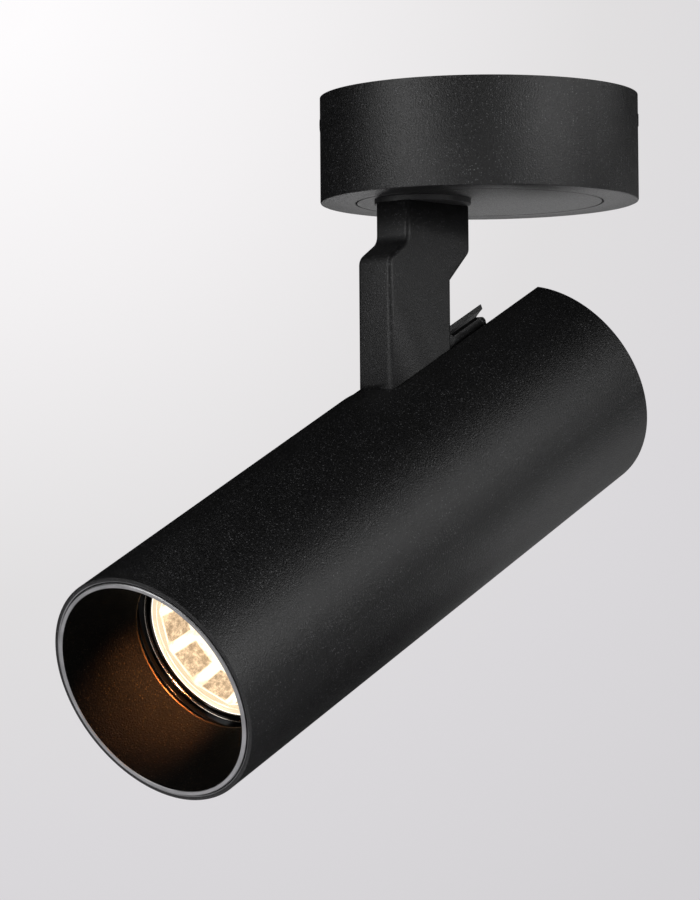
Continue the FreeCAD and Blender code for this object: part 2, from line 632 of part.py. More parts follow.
arm_body = doc.addObject("PartDesign::Body", "Arm")
profile = outline(arm_body, "YZ_Plane", [
    (NECK_FRONT, TOP),
    (NECK_FRONT, SHELF),
    (ARM_FRONT, "%s - arm_jog * tan(shelf_angle)" % SHELF),
    (ARM_FRONT, STOP_START),
    (STOP_Y, STOP_Z),
    ("0", "-eye_radius"),
    (ARM_REAR, "0"),
    (ARM_REAR, "%s - (%s) + (%s)" % (HEEL, NECK_REAR, ARM_REAR)),
    (NECK_REAR, HEEL),
    (NECK_REAR, TOP),
])
arm_pad = arm_body.newObject("PartDesign::Pad", "Slab")
arm_pad.Profile = profile
bind(arm_pad, "Length", "arm_thickness")
arm_pad.Midplane = True
doc.recompute()


def edges_at(shape, spots):
    """Names of the edges across the arm that pass through the given (y, z) spots."""
    names = []
    for index, edge in enumerate(shape.Edges, start=1):
        ends = [vertex.Point for vertex in edge.Vertexes]
        if len(ends) != 2 or abs(ends[0].y - ends[1].y) > 1e-4 or abs(ends[0].z - ends[1].z) > 1e-4:
            continue
        for y, z in spots:
            if abs(ends[0].y - number(y)) < 0.01 and abs(ends[0].z - number(z)) < 0.01:
                names.append("Edge%d" % index)
    return names


shelf_round = arm_body.newObject("PartDesign::Fillet", "ShelfRound")
shelf_spots = [(NECK_FRONT, SHELF), (ARM_FRONT, "%s - arm_jog * tan(shelf_angle)" % SHELF)]
shelf_round.Base = (arm_pad, edges_at(arm_pad.Shape, shelf_spots))
bind(shelf_round, "Radius", "shelf_round")
doc.recompute()
heel_round = arm_body.newObject("PartDesign::Fillet", "HeelRound")
heel_round.Base = (shelf_round, edges_at(shelf_round.Shape, [(NECK_REAR, HEEL)]))
bind(heel_round, "Radius", "heel_round")
doc.recompute()


def rim_edges(shape, lowest):
    """Names of the outer edges on both flat sides of the arm, above a height and below its top."""
    names = []
    half = number("arm_thickness / 2")
    top = number(TOP)
    for index, edge in enumerate(shape.Edges, start=1):
        box = edge.BoundBox
        flat = abs(abs(box.XMin) - half) < 1e-3 and box.XLength < 1e-3
        if flat and box.ZMin > lowest - 1e-3 and box.ZMin < top - 1e-3:
            names.append("Edge%d" % index)
    return names


arm_rounds = arm_body.newObject("PartDesign::Fillet", "EdgeRound")
arm_rounds.Base = (heel_round, rim_edges(heel_round.Shape, 0))
bind(arm_rounds, "Radius", "arm_edge")
doc.recompute()

eye = rod("eye_radius", "arm_thickness", "-arm_thickness / 2", "0", "0", "x")
arm_cuts = [
    rod("stud_radius", "stud_depth", "0", "0", "%s - stud_depth" % TOP),
    rod("lead_way", TOP, "0", "0", "0"),
    rod("axle_radius", "arm_thickness * 2", "-arm_thickness", "0", "0", "x"),
    rod("foot_screw_radius", "foot_screw_bite", "0", "%s - foot_screw_bite" % ARM_REAR,
        "foot_screw_height", "y"),
]
piece("arm", cut(joined([arm_body, eye]), arm_cuts), ON_PIVOT)

# ================================================================ tilt axle
CHEEK_IN = "(arm_thickness / 2 + friction_washer_thickness + side_play)"
CHEEK_OUT = "(%s + cheek_thickness)" % CHEEK_IN
WASHER_X = "(%s + side_play)" % CHEEK_OUT
TILT_NUT_X = "(%s + outer_washer_thickness)" % WASHER_X
AXLE_HALF = "(%s + tilt_nut_height + axle_end)" % TILT_NUT_X

axle = cut(rod("axle_radius", AXLE_HALF + " * 2", "-" + AXLE_HALF, "0", "0", "x"),
           [rod("axle_bore", AXLE_HALF + " * 2", "-" + AXLE_HALF, "0", "0", "x"),
            rod("axle_bore", "axle_radius", "0", "0", "0")])
piece("tilt_axle", axle, ON_PIVOT)


def pair(maker, radius, thickness, start):
    """Two equal rings on the tilt axle, one each side, from a distance outwards."""
    bore = "axle_radius"
    rings = []
    for begin in (start, "-(%s) - (%s)" % (start, thickness)):
        way = rod(bore, thickness, begin, "0", "0", "x")
        rings.append(cut(maker(radius, thickness, begin, "0", "0", "x"), [way]))
    return rings


friction_pair = pair(rod, "friction_washer_radius", "friction_washer_thickness", "arm_thickness / 2")
piece("friction_washers", friction_pair, ON_PIVOT)
piece("tilt_washers", pair(rod, "outer_washer_radius", "outer_washer_thickness", WASHER_X), ON_PIVOT)
piece("tilt_nuts", pair(hexagon, "tilt_nut_radius", "tilt_nut_height", TILT_NUT_X), ON_PIVOT)

LEAD_EXIT = "(-%s - side_play)" % AXLE_HALF
arm_lead = lead([
    ("0", "0", "%s + pivot_drop + side_play" % STUD_TOP),
    ("0", "0", "0", "lead_bend"),
    (LEAD_EXIT, "0", "0"),
], "lead_radius")
piece("arm_lead", arm_lead, ON_PIVOT)

CANOPY_LEAD_Z = "(-plate_thickness - block_height / 2)"
canopy_lead = lead([
    ("swivel_across", "-swivel_forward", "%s + side_play" % STUD_TOP),
    ("swivel_across", "-swivel_forward", CANOPY_LEAD_Z, "lead_wide_bend"),
    ("0", "block_centre - block_width / 2 - lead_end_gap", CANOPY_LEAD_Z),
], "lead_radius")
piece("canopy_lead", canopy_lead, ON_CEILING)

# ================================================================ stop finger behind the arm
# Its prong lies along the tube in the pose of the photograph, so it is drawn in the tube's frame.
FINGER_MIDDLE = "(tube_radius + finger_proud - finger_height / 2)"
finger_bar = block("finger_inner", "finger_inner + finger_thickness",
                   FINGER_MIDDLE + " - finger_height / 2", FINGER_MIDDLE + " + finger_height / 2",
                   "finger_tip + finger_height / 2", "pivot_from_rear")
finger_end = rod("finger_height / 2", "finger_thickness", "finger_inner", FINGER_MIDDLE,
                 "finger_tip + finger_height / 2", "x")
finger_turned = moved(joined([finger_bar, finger_end]), (
    "0", "pivot_from_rear * cos(rest_tilt) + pivot_above_axis * sin(rest_tilt)",
    "pivot_from_rear * sin(rest_tilt) - pivot_above_axis * cos(rest_tilt)", X_AXIS, "90 + rest_tilt"))
behind_arm = block("-arm_thickness", "arm_thickness", ARM_REAR, "%s + tube_length" % ARM_REAR,
                   "0", "tube_length")
finger = doc.addObject("Part::Common", "Common")
finger.Base = finger_turned
finger.Tool = behind_arm
foot = block("-foot_half_width", "foot_half_width", ARM_REAR, "%s + foot_thickness" % ARM_REAR,
             "foot_low", "foot_high")
foot_way = rod("foot_screw_radius", "foot_thickness", "0", ARM_REAR, "foot_screw_height", "y")
piece("stop_finger", cut(joined([finger, foot]), [foot_way]), ON_PIVOT)
foot_shank = rod("foot_screw_radius", "foot_screw_bite + foot_thickness", "0",
                 "%s - foot_screw_bite" % ARM_REAR, "foot_screw_height", "y")
foot_head = rod("foot_screw_head_radius", "foot_screw_head_height", "0",
                "%s + foot_thickness" % ARM_REAR, "foot_screw_height", "y")
piece("finger_screw", joined([foot_shank, foot_head]), ON_PIVOT)

# ================================================================ tube
tube = turned("Tube", [
    ("tube_radius - tube_bevel", "0"),
    ("tube_radius", "tube_bevel"),
    ("tube_radius", "tube_length - tube_bevel"),
    ("tube_radius - tube_bevel", "tube_length"),
    (BORE, "tube_length"),
    (BORE, "0"),
])
SLOT_END = "(pivot_from_rear + stop_face + slot_ahead)"
CAP_Z = "cap_recess"
CAP_RADIUS = "(%s - cap_play)" % BORE
CAP_SCREW_Z = "(cap_recess + cap_thickness / 2)"
CAP_SCREW_START = "(tube_radius - cap_screw_length)"
arm_opening = block("-slot_far", "slot_near", "0", "tube_radius * 2", "-tube_wall", SLOT_END)
tube_ways = [arm_opening]
cap_screws = []
cap_ways = [block("-slot_far - cap_slot_extra", "slot_near", "cap_slot_floor", "tube_radius * 2",
                  "0", "cap_recess + cap_thickness * 2")]
for turn_to in CAP_SCREW_TURNS:
    way = rod("cap_screw_radius", "tube_wall * 4", "tube_radius - tube_wall * 2", "0", CAP_SCREW_Z, "x")
    tube_ways.append(spun(way, turn_to))
    way = rod("cap_screw_radius", "cap_screw_length", CAP_SCREW_START, "0", CAP_SCREW_Z, "x")
    cap_ways.append(spun(way, turn_to))
    screw = rod("cap_screw_radius", "cap_screw_length", CAP_SCREW_START, "0", CAP_SCREW_Z, "x")
    socket = hexagon("cap_socket", "socket_depth", "tube_radius - socket_depth", "0", CAP_SCREW_Z, "x")
    cap_screws.append(spun(cut(screw, [socket]), turn_to))
piece("tube_housing", cut(tube, tube_ways), ON_HEAD)

# ================================================================ rear cap and hinge bracket
BRACKET_START = "(cap_recess + cap_thickness)"
BRACKET_END = "(can_start)"
FLOOR_LOW = "(-bracket_floor - bracket_sheet)"
FLANGE_LOW = "(-bracket_floor - flange_drop)"
SCREW_Y = "(-bracket_floor - flange_screw_drop)"
for side in ("", "-"):
    cap_ways.append(rod("flange_screw_radius", "cap_thickness", side + "flange_screw_across", SCREW_Y, CAP_Z))
piece("rear_cap", cut(rod(CAP_RADIUS, "cap_thickness", "0", "0", CAP_Z), cap_ways), ON_HEAD)
piece("cap_screws", cap_screws, ON_HEAD)

floor_plate = block("-" + CHEEK_OUT, CHEEK_OUT, FLOOR_LOW, "-bracket_floor", BRACKET_START, BRACKET_END)
bracket_parts = [floor_plate]
for start in (BRACKET_START, BRACKET_END + " - bracket_sheet"):
    bracket_parts.append(block("-" + CHEEK_OUT, CHEEK_OUT, FLANGE_LOW, "-bracket_floor",
                               start, start + " + bracket_sheet"))
for inner, outer in ((CHEEK_IN, CHEEK_OUT), ("-" + CHEEK_OUT, "-" + CHEEK_IN)):
    bracket_parts.append(block(inner, outer, FLOOR_LOW, "pivot_above_axis",
                               "pivot_from_rear - cheek_half_length", "pivot_from_rear + cheek_half_length"))
    bracket_parts.append(rod("cheek_half_length", "cheek_thickness", inner,
                             "pivot_above_axis", "pivot_from_rear", "x"))
bracket_ways = [rod("axle_radius + shaft_play", "tube_radius * 2", "-tube_radius",
                    "pivot_above_axis", "pivot_from_rear", "x")]
rear_flange_screws = []
front_flange_screws = []
for side in ("", "-"):
    across = side + "flange_screw_across"
    bracket_ways.append(rod("flange_screw_radius", "tube_length", across, SCREW_Y, "0"))
    shank = rod("flange_screw_radius", "cap_thickness + bracket_sheet", across, SCREW_Y, CAP_Z)
    head = rod("flange_screw_head_radius", "flange_screw_head_height", across, SCREW_Y,
               BRACKET_START + " + bracket_sheet")
    rear_flange_screws.append(joined([shank, head]))
    shank = rod("flange_screw_radius", "bracket_sheet + can_floor", across, SCREW_Y,
                BRACKET_END + " - bracket_sheet")
    head = rod("flange_screw_head_radius", "flange_screw_head_height", across, SCREW_Y,
               BRACKET_END + " - bracket_sheet - flange_screw_head_height")
    front_flange_screws.append(joined([shank, head]))
piece("hinge_bracket", cut(joined(bracket_parts), bracket_ways), ON_HEAD)
piece("bracket_screws", rear_flange_screws, ON_HEAD)
piece("can_screws", front_flange_screws, ON_HEAD)

# ================================================================ lamp can and lampholder
LAMP_RIM = "(tube_length - lamp_recess)"
CAN_MOUTH = "(%s - lamp_rim_height)" % LAMP_RIM
CAN_INSIDE = "(can_radius - can_sheet)"
HOLDER_BACK = "(can_start + can_floor)"
can = turned("Can", [
    ("lead_hole", "can_start"),
    ("can_radius", "can_start"),
    ("can_radius", CAN_MOUTH),
    (CAN_INSIDE, CAN_MOUTH),
    (CAN_INSIDE, HOLDER_BACK),
    ("lead_hole", HOLDER_BACK),
])
can_ways = []
for side in ("", "-"):
    can_ways.append(rod("flange_screw_radius", "can_floor", side + "flange_screw_across", SCREW_Y,
                        "can_start"))
    can_ways.append(rod("holder_screw_radius", "can_floor", side + "holder_screw_across", "0", "can_start"))
for index in range(int(number("can_vent_count"))):
    vent = block("can_radius - can_sheet * 2", "can_radius + can_sheet",
                 "-can_vent_width / 2", "can_vent_width / 2",
                 HOLDER_BACK + " + can_vent_start", HOLDER_BACK + " + can_vent_start + can_vent_length")
    can_ways.append(spun(vent, "%d * 360 / can_vent_count" % index))
piece("lamp_can", cut(can, can_ways), ON_HEAD)
centring = ring(CAP_RADIUS, "can_radius", "centring_thickness", "0", "0", CAN_MOUTH + " - centring_setback")
piece("centring_ring", centring, ON_HEAD)

LAMP_BASE = "(%s - lamp_length)" % LAMP_RIM
HOLDER_FRONT = "(%s + holder_length)" % HOLDER_BACK
PIN_FOOT = "(%s - pin_length)" % LAMP_BASE
POCKET_DEPTH = "(%s - (%s) + side_play * 2 + contact_thickness)" % (HOLDER_FRONT, PIN_FOOT)
POCKET_BOTTOM = "(%s - (%s))" % (HOLDER_FRONT, POCKET_DEPTH)
holder_ways = []
contacts = []
holder_screws = []
pins = []
for side in ("", "-"):
    across = side + "pin_pitch / 2"
    holder_ways.append(rod("pin_head_radius + pin_fit", POCKET_DEPTH, across, "0", POCKET_BOTTOM))
    contacts.append(rod("pin_head_radius + pin_fit", "contact_thickness", across, "0", POCKET_BOTTOM))
    shank = rod("pin_radius", "pin_length", across, "0", PIN_FOOT)
    foot_of_pin = rod("pin_head_radius", "pin_head_height", across, "0", PIN_FOOT)
    pins.append(joined([shank, foot_of_pin]))
    screw_x = side + "holder_screw_across"
    holder_ways.append(rod("holder_screw_radius", "holder_length", screw_x, "0", HOLDER_BACK))
    holder_screws.append(rod("holder_screw_radius", "holder_length + can_floor", screw_x, "0", "can_start"))
piece("lampholder", cut(rod("holder_radius", "holder_length", "0", "0", HOLDER_BACK), holder_ways), ON_HEAD)
piece("holder_contacts", contacts, ON_HEAD)
piece("holder_screws", holder_screws, ON_HEAD)
piece("lamp_pins", pins, ON_HEAD)

# ================================================================ lamp
NECK_TOP = "(%s + lamp_base_length)" % LAMP_BASE
piece("lamp_base", rod("lamp_neck_radius", "lamp_base_length", "0", "0", LAMP_BASE), ON_HEAD)
GLASS_SEAT = "(%s - cover_setback - cover_thickness)" % LAMP_RIM
RIM_INSIDE = "(lamp_radius - lamp_glass_wall)"
reflector = turned("Reflector", [
    ("0", NECK_TOP),
    ("lamp_neck_radius", NECK_TOP),
    ("lamp_radius", "%s - lamp_rim_height" % LAMP_RIM, "lamp_curve"),
    ("lamp_radius", LAMP_RIM),
    (RIM_INSIDE, LAMP_RIM),
    (RIM_INSIDE, GLASS_SEAT),
    ("%s - lamp_glass_wall" % RIM_INSIDE, GLASS_SEAT),
    ("lamp_cup_radius", "%s + lamp_glass_wall" % NECK_TOP),
    ("0", "%s + lamp_glass_wall" % NECK_TOP),
])
piece("lamp_reflector", reflector, ON_HEAD)
front_glass = rod("%s - side_play" % RIM_INSIDE, "cover_thickness", "0", "0", GLASS_SEAT)
piece("lamp_front_glass", front_glass, ON_HEAD)
burner_start = "(%s + lamp_glass_wall)" % NECK_TOP
burner = turned("Burner", [
    ("0", burner_start),
    ("capsule_radius", burner_start),
    ("capsule_radius", "%s + capsule_length - capsule_radius" % burner_start),
    ("capsule_radius / 2", "%s + capsule_length" % burner_start),
    ("0", "%s + capsule_length" % burner_start),
])
piece("lamp_burner", burner, ON_HEAD)
lamp_ring = turned("LampRing", [
    ("ring_inner", LAMP_RIM),
    ("can_radius", LAMP_RIM),
    ("can_radius", "%s + ring_height" % LAMP_RIM),
    ("ring_inner + ring_height", "%s + ring_height" % LAMP_RIM),
    ("ring_inner", "%s + ring_height / 3" % LAMP_RIM),
])
spacer = ring("can_radius", CAN_INSIDE, "lamp_rim_height", "0", "0", CAN_MOUTH)
piece("lamp_ring", joined([lamp_ring, spacer]), ON_HEAD)

# ================================================================ baffle
SKIRT = "(%s - baffle_play)" % BORE
RIM_IN = "(%s - baffle_rim)" % SKIRT
SKIRT_IN = "(%s - skirt_wall)" % SKIRT
FRONT = "(tube_length + baffle_proud)"
CONE_END = "(tube_length - baffle_depth)"
CONE_SLOPE = "((%s - baffle_mouth) / (baffle_depth + baffle_proud))" % RIM_IN
SKIRT_START = "(tube_length - skirt_length)"
MEET = "(%s + (%s - baffle_mouth - baffle_wall) / %s)" % (CONE_END, SKIRT_IN, CONE_SLOPE)
SEAL_Z = "(tube_length - seal_setback)"
baffle = turned("Baffle", [
    (RIM_IN, FRONT),
    ("baffle_mouth", CONE_END),
    ("baffle_mouth + baffle_wall", CONE_END),
    (SKIRT_IN, MEET),
    (SKIRT_IN, SKIRT_START),
    (SKIRT, SKIRT_START),
    (SKIRT, SEAL_Z),
    (SKIRT + " - seal_depth", SEAL_Z),
    (SKIRT + " - seal_depth", SEAL_Z + " + seal_width"),
    (SKIRT, SEAL_Z + " + seal_width"),
    (SKIRT, FRONT),
])
piece("baffle", baffle, ON_HEAD)
seal = ring(BORE, SKIRT + " - seal_depth", "seal_width - side_play * 2", "0", "0", SEAL_Z + " + side_play")
piece("baffle_seal", seal, ON_HEAD)

LEAD_X = "(%s - tilt_nut_height * 2)" % LEAD_EXIT
head_lead = lead([
    (LEAD_EXIT + " - side_play", "pivot_above_axis", "pivot_from_rear"),
    (LEAD_X, "pivot_above_axis", "pivot_from_rear", "lead_bend"),
    (LEAD_X, "lead_clear_drop", "(pivot_from_rear + can_start) / 2", "lead_wide_bend"),
    ("0", "0", "can_start - eye_radius", "lead_wide_bend"),
    ("0", "0", HOLDER_BACK),
], "lead_radius")
piece("head_lead", head_lead, ON_HEAD)

# ================================================================ check and write
doc.recompute()
for thing in doc.Objects:
    if "Invalid" in thing.State or "Error" in thing.State:
        raise RuntimeError("%s (%s) is %s" % (thing.Name, thing.Label, thing.State))
os.makedirs("parts", exist_ok=True)
for made in PIECES:
    shape = made.Shape
    if shape.isNull() or not shape.isValid() or shape.Volume <= 0:
        raise RuntimeError("%s has no sound shape" % made.Label)
    shape.exportStep("parts/%s.step" % made.Label)
    print("%-22s %d solid(s) %10.1f mm3" % (made.Label, len(shape.Solids), shape.Volume))
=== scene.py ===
import json
import math

import bmesh
import bpy
from mathutils import Matrix, Vector

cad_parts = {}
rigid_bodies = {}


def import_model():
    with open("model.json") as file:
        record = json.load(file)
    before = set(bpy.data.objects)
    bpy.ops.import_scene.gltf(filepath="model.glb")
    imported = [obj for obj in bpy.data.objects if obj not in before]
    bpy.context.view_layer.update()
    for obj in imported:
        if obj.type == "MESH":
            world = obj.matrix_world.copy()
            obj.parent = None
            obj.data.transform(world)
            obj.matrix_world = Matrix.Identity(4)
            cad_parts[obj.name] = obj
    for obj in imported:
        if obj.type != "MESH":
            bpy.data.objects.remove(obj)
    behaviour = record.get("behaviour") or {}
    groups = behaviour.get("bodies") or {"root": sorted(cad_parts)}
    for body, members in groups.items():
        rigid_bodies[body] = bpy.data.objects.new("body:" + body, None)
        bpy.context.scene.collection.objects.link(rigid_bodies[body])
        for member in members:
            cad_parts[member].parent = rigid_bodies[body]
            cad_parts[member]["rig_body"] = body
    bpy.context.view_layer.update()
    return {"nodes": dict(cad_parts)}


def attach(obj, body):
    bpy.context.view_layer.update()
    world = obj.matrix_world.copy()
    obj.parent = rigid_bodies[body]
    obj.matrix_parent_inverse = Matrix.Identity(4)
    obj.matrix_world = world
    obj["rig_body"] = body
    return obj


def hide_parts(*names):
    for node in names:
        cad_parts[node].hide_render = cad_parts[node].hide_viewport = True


# Surface mounted ceiling spotlight: ceiling box, cranked arm, tilting tube, reflector lamp behind
# a cone. Origin on the ceiling, Z up, metres. The tube's pieces are drawn in the tube's own frame,
# z from its rear end to its front, and carried to the arm's end by TUBE_PLACE.

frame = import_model()
nodes = frame["nodes"]
scene = bpy.context.scene

MM = 0.001
FULL_TURN = 2.0 * math.pi

# ---------------------------------------------------------------- sizes, in millimetres
CANOPY_RADIUS = 50.0
CANOPY_HEIGHT = 33.3
CANOPY_WALL = 1.8
CANOPY_FLOOR = 2.0
CANOPY_BEVEL = 0.5
CANOPY_BEVEL_STEP = 0.15
DISC_RADIUS = 38.6
DISC_GAP = 0.3
DISC_EASE = 0.2
DISC_LIP = 4.4
DISC_LIP_THICKNESS = 1.5
SWIVEL_ACROSS = -6.1
SWIVEL_FORWARD = 20.25
STUD_HOLE = 5.05
PIVOT_DROP = 99.6
REST_TILT = 27.0
TUBE_RADIUS = 36.0
TUBE_WALL = 1.5
TUBE_LENGTH = 206.9
TUBE_BEVEL = 0.3
TUBE_BEVEL_STEP = 0.09
TUBE_INNER_EDGE = 0.32
PIVOT_FROM_REAR = 61.6
PIVOT_ABOVE_AXIS = 20.0
SLOT_NEAR = 7.1
SLOT_FAR = 18.5
SLOT_END = 79.5
SLOT_PAST_REAR = 5.0
SLOT_PAST_TOP = 50.0
LAMP_RIM = 176.7
LAMP_RADIUS = 25.0
LAMP_RIM_HEIGHT = 2.6
LAMP_NECK_RADIUS = 12.3
LAMP_NECK_TOP = 145.1
CUP_GLASS = 1.2
CUP_BOTTOM = 0.6
CUP_STEPS = 10
CUP_BULGE = 0.9
MIRROR_EDGE = 22.9
COVER_GLASS_UNDER = 1.1
COVER_GLASS_TOP = 0.3
RING_OUTER = 28.2
RING_INNER = 24.4
RING_HEIGHT = 2.4
RING_EDGE = 0.35
WIRE_RADIUS = 0.3
WIRE_STANDS_OFF = 2.0
WIRE_SIDES = 16
BAFFLE_FRONT = 207.4
BAFFLE_SKIRT = 34.2
BAFFLE_RIM = 1.35
BAFFLE_MOUTH = 25.35
BAFFLE_WALL = 1.4
BAFFLE_REAR = 182.1
BAFFLE_EASE = 0.25
MOUTH_LAND = 0.55
SKIRT_WALL = 2.0
SKIRT_REAR = 191.5

# faces round each turned piece
TUBE_SEGMENTS = 288
RING_SEGMENTS = 240
CUP_SEGMENTS = 160
GLASS_SEGMENTS = 96
HOLE_SEGMENTS = 64

TILT = math.radians(REST_TILT)
TUBE_PLACE = (
    Matrix.Translation(Vector((
        SWIVEL_ACROSS,
        -SWIVEL_FORWARD + PIVOT_FROM_REAR * math.cos(TILT) + PIVOT_ABOVE_AXIS * math.sin(TILT),
        -PIVOT_DROP + PIVOT_FROM_REAR * math.sin(TILT) - PIVOT_ABOVE_AXIS * math.cos(TILT),
    )) * MM)
    @ Matrix.Rotation(math.radians(90.0 + REST_TILT), 4, "X")
    @ Matrix.Scale(MM, 4)
)
CEILING_PLACE = Matrix.Scale(MM, 4)


# ---------------------------------------------------------------- material nodes
class Finish:
    """A material with its Principled shader and small helpers for the nodes in front of it."""

    def __init__(self, name, colour, rough, metal=0.0, **sockets):
        self.material = bpy.data.materials.new(name)
        self.material.use_nodes = True
        self.tree = self.material.node_tree
        self.shader = self.tree.nodes["Principled BSDF"]
        self.set("Base Color", (*colour, 1.0))
        self.set("Roughness", rough)
        self.set("Metallic", metal)
        for socket, value in sockets.items():
            self.set(socket.replace("_", " "), value)
        self.place = self.tree.nodes.new("ShaderNodeTexCoord").outputs["Object"]

    def set(self, socket, value):
        """Set a value on the shader's own socket."""
        self.shader.inputs[socket].default_value = value

    def link(self, source, target):
        self.tree.links.new(source, target)

    def grain(self, scale, detail=2.0, rough=0.5, stretch=None):
        """Noise of so many waves per metre."""
        node = self.tree.nodes.new("ShaderNodeTexNoise")
        node.inputs["Scale"].default_value = scale
        node.inputs["Detail"].default_value = detail
        node.inputs["Roughness"].default_value = rough
        source = self.place
        if stretch:
            mapping = self.tree.nodes.new("ShaderNodeMapping")
            mapping.inputs["Scale"].default_value = stretch
            self.link(source, mapping.inputs["Vector"])
            source = mapping.outputs["Vector"]
        self.link(source, node.inputs["Vector"])
        return node.outputs["Fac"]

    def flakes(self, scale):
        """Cells of random value, so many per metre."""
        node = self.tree.nodes.new("ShaderNodeTexVoronoi")
        node.inputs["Scale"].default_value = scale
        self.link(self.place, node.inputs["Vector"])
        apart = self.tree.nodes.new("ShaderNodeSeparateColor")
        self.link(node.outputs["Color"], apart.inputs["Color"])
        return apart.outputs["Red"], node.outputs["Distance"]

    def span(self, value, low, high, to_low=0.0, to_high=1.0):
        """Map low..high of a value to another range, held at its ends."""
        node = self.tree.nodes.new("ShaderNodeMapRange")
        node.inputs["From Min"].default_value = low
        node.inputs["From Max"].default_value = high
        node.inputs["To Min"].default_value = to_low
        node.inputs["To Max"].default_value = to_high
        self.link(value, node.inputs["Value"])
        return node.outputs["Result"]

    def math(self, kind, first, second=0.0):
        """One sum on numbers or sockets."""
        node = self.tree.nodes.new("ShaderNodeMath")
        node.operation = kind
        for index, value in enumerate((first, second)):
            if isinstance(value, (int, float)):
                node.inputs[index].default_value = value
            else:
                self.link(value, node.inputs[index])
        return node.outputs["Value"]

    def ramp(self, value, stops):
        """Colours along a value, as (position, colour) pairs."""
        node = self.tree.nodes.new("ShaderNodeValToRGB")
        elements = node.color_ramp.elements
        while len(elements) < len(stops):
            elements.new(0.5)
        for element, (position, colour) in zip(elements, stops):
            element.position = position
            element.color = (*colour, 1.0)
        self.link(value, node.inputs["Fac"])
        return node.outputs["Color"]

    def colour(self, value, stops):
        """Colour the surface by a value."""
        self.link(self.ramp(value, stops), self.shader.inputs["Base Color"])

    def roughness(self, value, low, high):
        """Roughness from low to high over the middle of a noise."""
        self.link(self.span(value, 0.3, 0.7, low, high), self.shader.inputs["Roughness"])

    def bump(self, height, distance, strength=1.0):
        """Raise the surface by a value, up to so many metres."""
        node = self.tree.nodes.new("ShaderNodeBump")
        node.inputs["Strength"].default_value = strength
        node.inputs["Distance"].default_value = distance
        self.link(height, node.inputs["Height"])
        self.link(node.outputs["Normal"], self.shader.inputs["Normal"])


PEBBLES_PER_METRE = 1900.0
CLOUDS_PER_METRE = 90.0
GRAINS_PER_METRE = 2300.0
CLOUD_SHARE = 0.12
PEBBLE_SHARE = 0.43
SPECK_SHARE = 0.6


def powder_coat(name, dark, light, speck, rough, grain_depth):
    """Fine textured coat: pebbled surface, cloudy shade, and a sprinkle of brighter grains."""
    made = Finish(name, dark, rough)
    pebble = made.grain(PEBBLES_PER_METRE, 2.0, 0.6)
    cloud = made.grain(CLOUDS_PER_METRE, 3.0, 0.5)
    grain, distance = made.flakes(GRAINS_PER_METRE)
    sprinkle = made.span(grain, 0.45, 1.0)
    near = made.span(distance, 0.7, 0.1)
    specks = made.math("MULTIPLY", sprinkle, near)
    clouded = made.span(cloud, 0.3, 0.7, 0.0, CLOUD_SHARE)
    pebbled = made.span(pebble, 0.35, 0.65, 0.0, PEBBLE_SHARE)
    shade = made.math("ADD", clouded, pebbled)
    shade = made.math("ADD", shade, made.math("MULTIPLY", specks, SPECK_SHARE))
    made.colour(shade, [(0.0, dark), (0.55, light), (1.0, speck)])
    made.roughness(pebble, rough - 0.07, rough + 0.09)
    made.bump(pebble, grain_depth, 0.9)
    return made


def plated_steel(name, tint, rough):
    """Plated metal with a faint cloud and fine scratches."""
    made = Finish(name, tint, rough, 1.0)
    cloud = made.grain(160.0, 3.0)
    paler = tuple(min(1.0, part * 1.12) for part in tint)
    deeper = tuple(part * 0.8 for part in tint)
    made.colour(cloud, [(0.3, deeper), (0.7, paler)])
    fine = made.grain(1800.0, 2.0, 0.6, stretch=(1.0, 0.15, 1.0))
    made.roughness(fine, rough - 0.06, rough + 0.1)
    made.bump(fine, 0.00001, 0.6)
    return made


def moulded(name, tint, rough):
    """Moulded plastic, rubber or ceramic with a fine matt grain."""
    made = Finish(name, tint, rough)
    cloud = made.grain(120.0, 3.0)
    made.colour(cloud, [(0.25, tuple(part * 0.82 for part in tint)), (0.75, tint)])
    fine = made.grain(900.0, 3.0, 0.6)
    made.roughness(fine, rough - 0.06, rough + 0.08)
    made.bump(fine, 0.00002, 0.7)
    return made


coat = powder_coat(
    "black_powder_coat",
    dark=(0.0008, 0.0008, 0.0009),
    light=(0.008, 0.008, 0.0085),
    speck=(0.14, 0.14, 0.145),
    rough=0.43,
    grain_depth=0.00018,
)
arm_coat = powder_coat(
    "arm_powder_coat",
    dark=(0.0015, 0.0015, 0.0017),
    light=(0.007, 0.007, 0.0075),
    speck=(0.10, 0.10, 0.105),
    rough=0.46,
    grain_depth=0.00010,
)
arm_coat.set("Specular IOR Level", 0.42)
cone_coat = powder_coat(
    "cone_powder_coat",
    dark=(0.0001, 0.0001, 0.0001),
    light=(0.0046, 0.0040, 0.0034),
    speck=(0.032, 0.024, 0.016),
    rough=0.65,
    grain_depth=0.00030,
)
cone_coat.set("Specular IOR Level", 0.03)
rim_coat = plated_steel("machined_baffle_rim", (0.46, 0.46, 0.465), 0.4)
mouth_edge = plated_steel("dark_mouth_edge", (0.045, 0.028, 0.014), 0.5)
worn_edge = plated_steel("worn_tube_edge", (0.30, 0.30, 0.305), 0.42)
wire_chrome = plated_steel("dark_chrome_wire", (0.40, 0.37, 0.33), 0.16)
zinc = plated_steel("zinc_plate", (0.56, 0.56, 0.54), 0.34)
black_oxide = plated_steel("black_oxide", (0.05, 0.05, 0.052), 0.38)
brass = plated_steel("terminal_brass", (0.72, 0.52, 0.24), 0.3)
bronze = plated_steel("contact_bronze", (0.62, 0.42, 0.22), 0.32)
nylon = moulded("black_nylon", (0.007, 0.007, 0.0075), 0.6)
block_plastic = moulded("block_plastic", (0.72, 0.71, 0.66), 0.44)
rubber = moulded("black_rubber", (0.02, 0.02, 0.02), 0.62)
sleeve = moulded("silicone_sleeve", (0.018, 0.018, 0.019), 0.5)
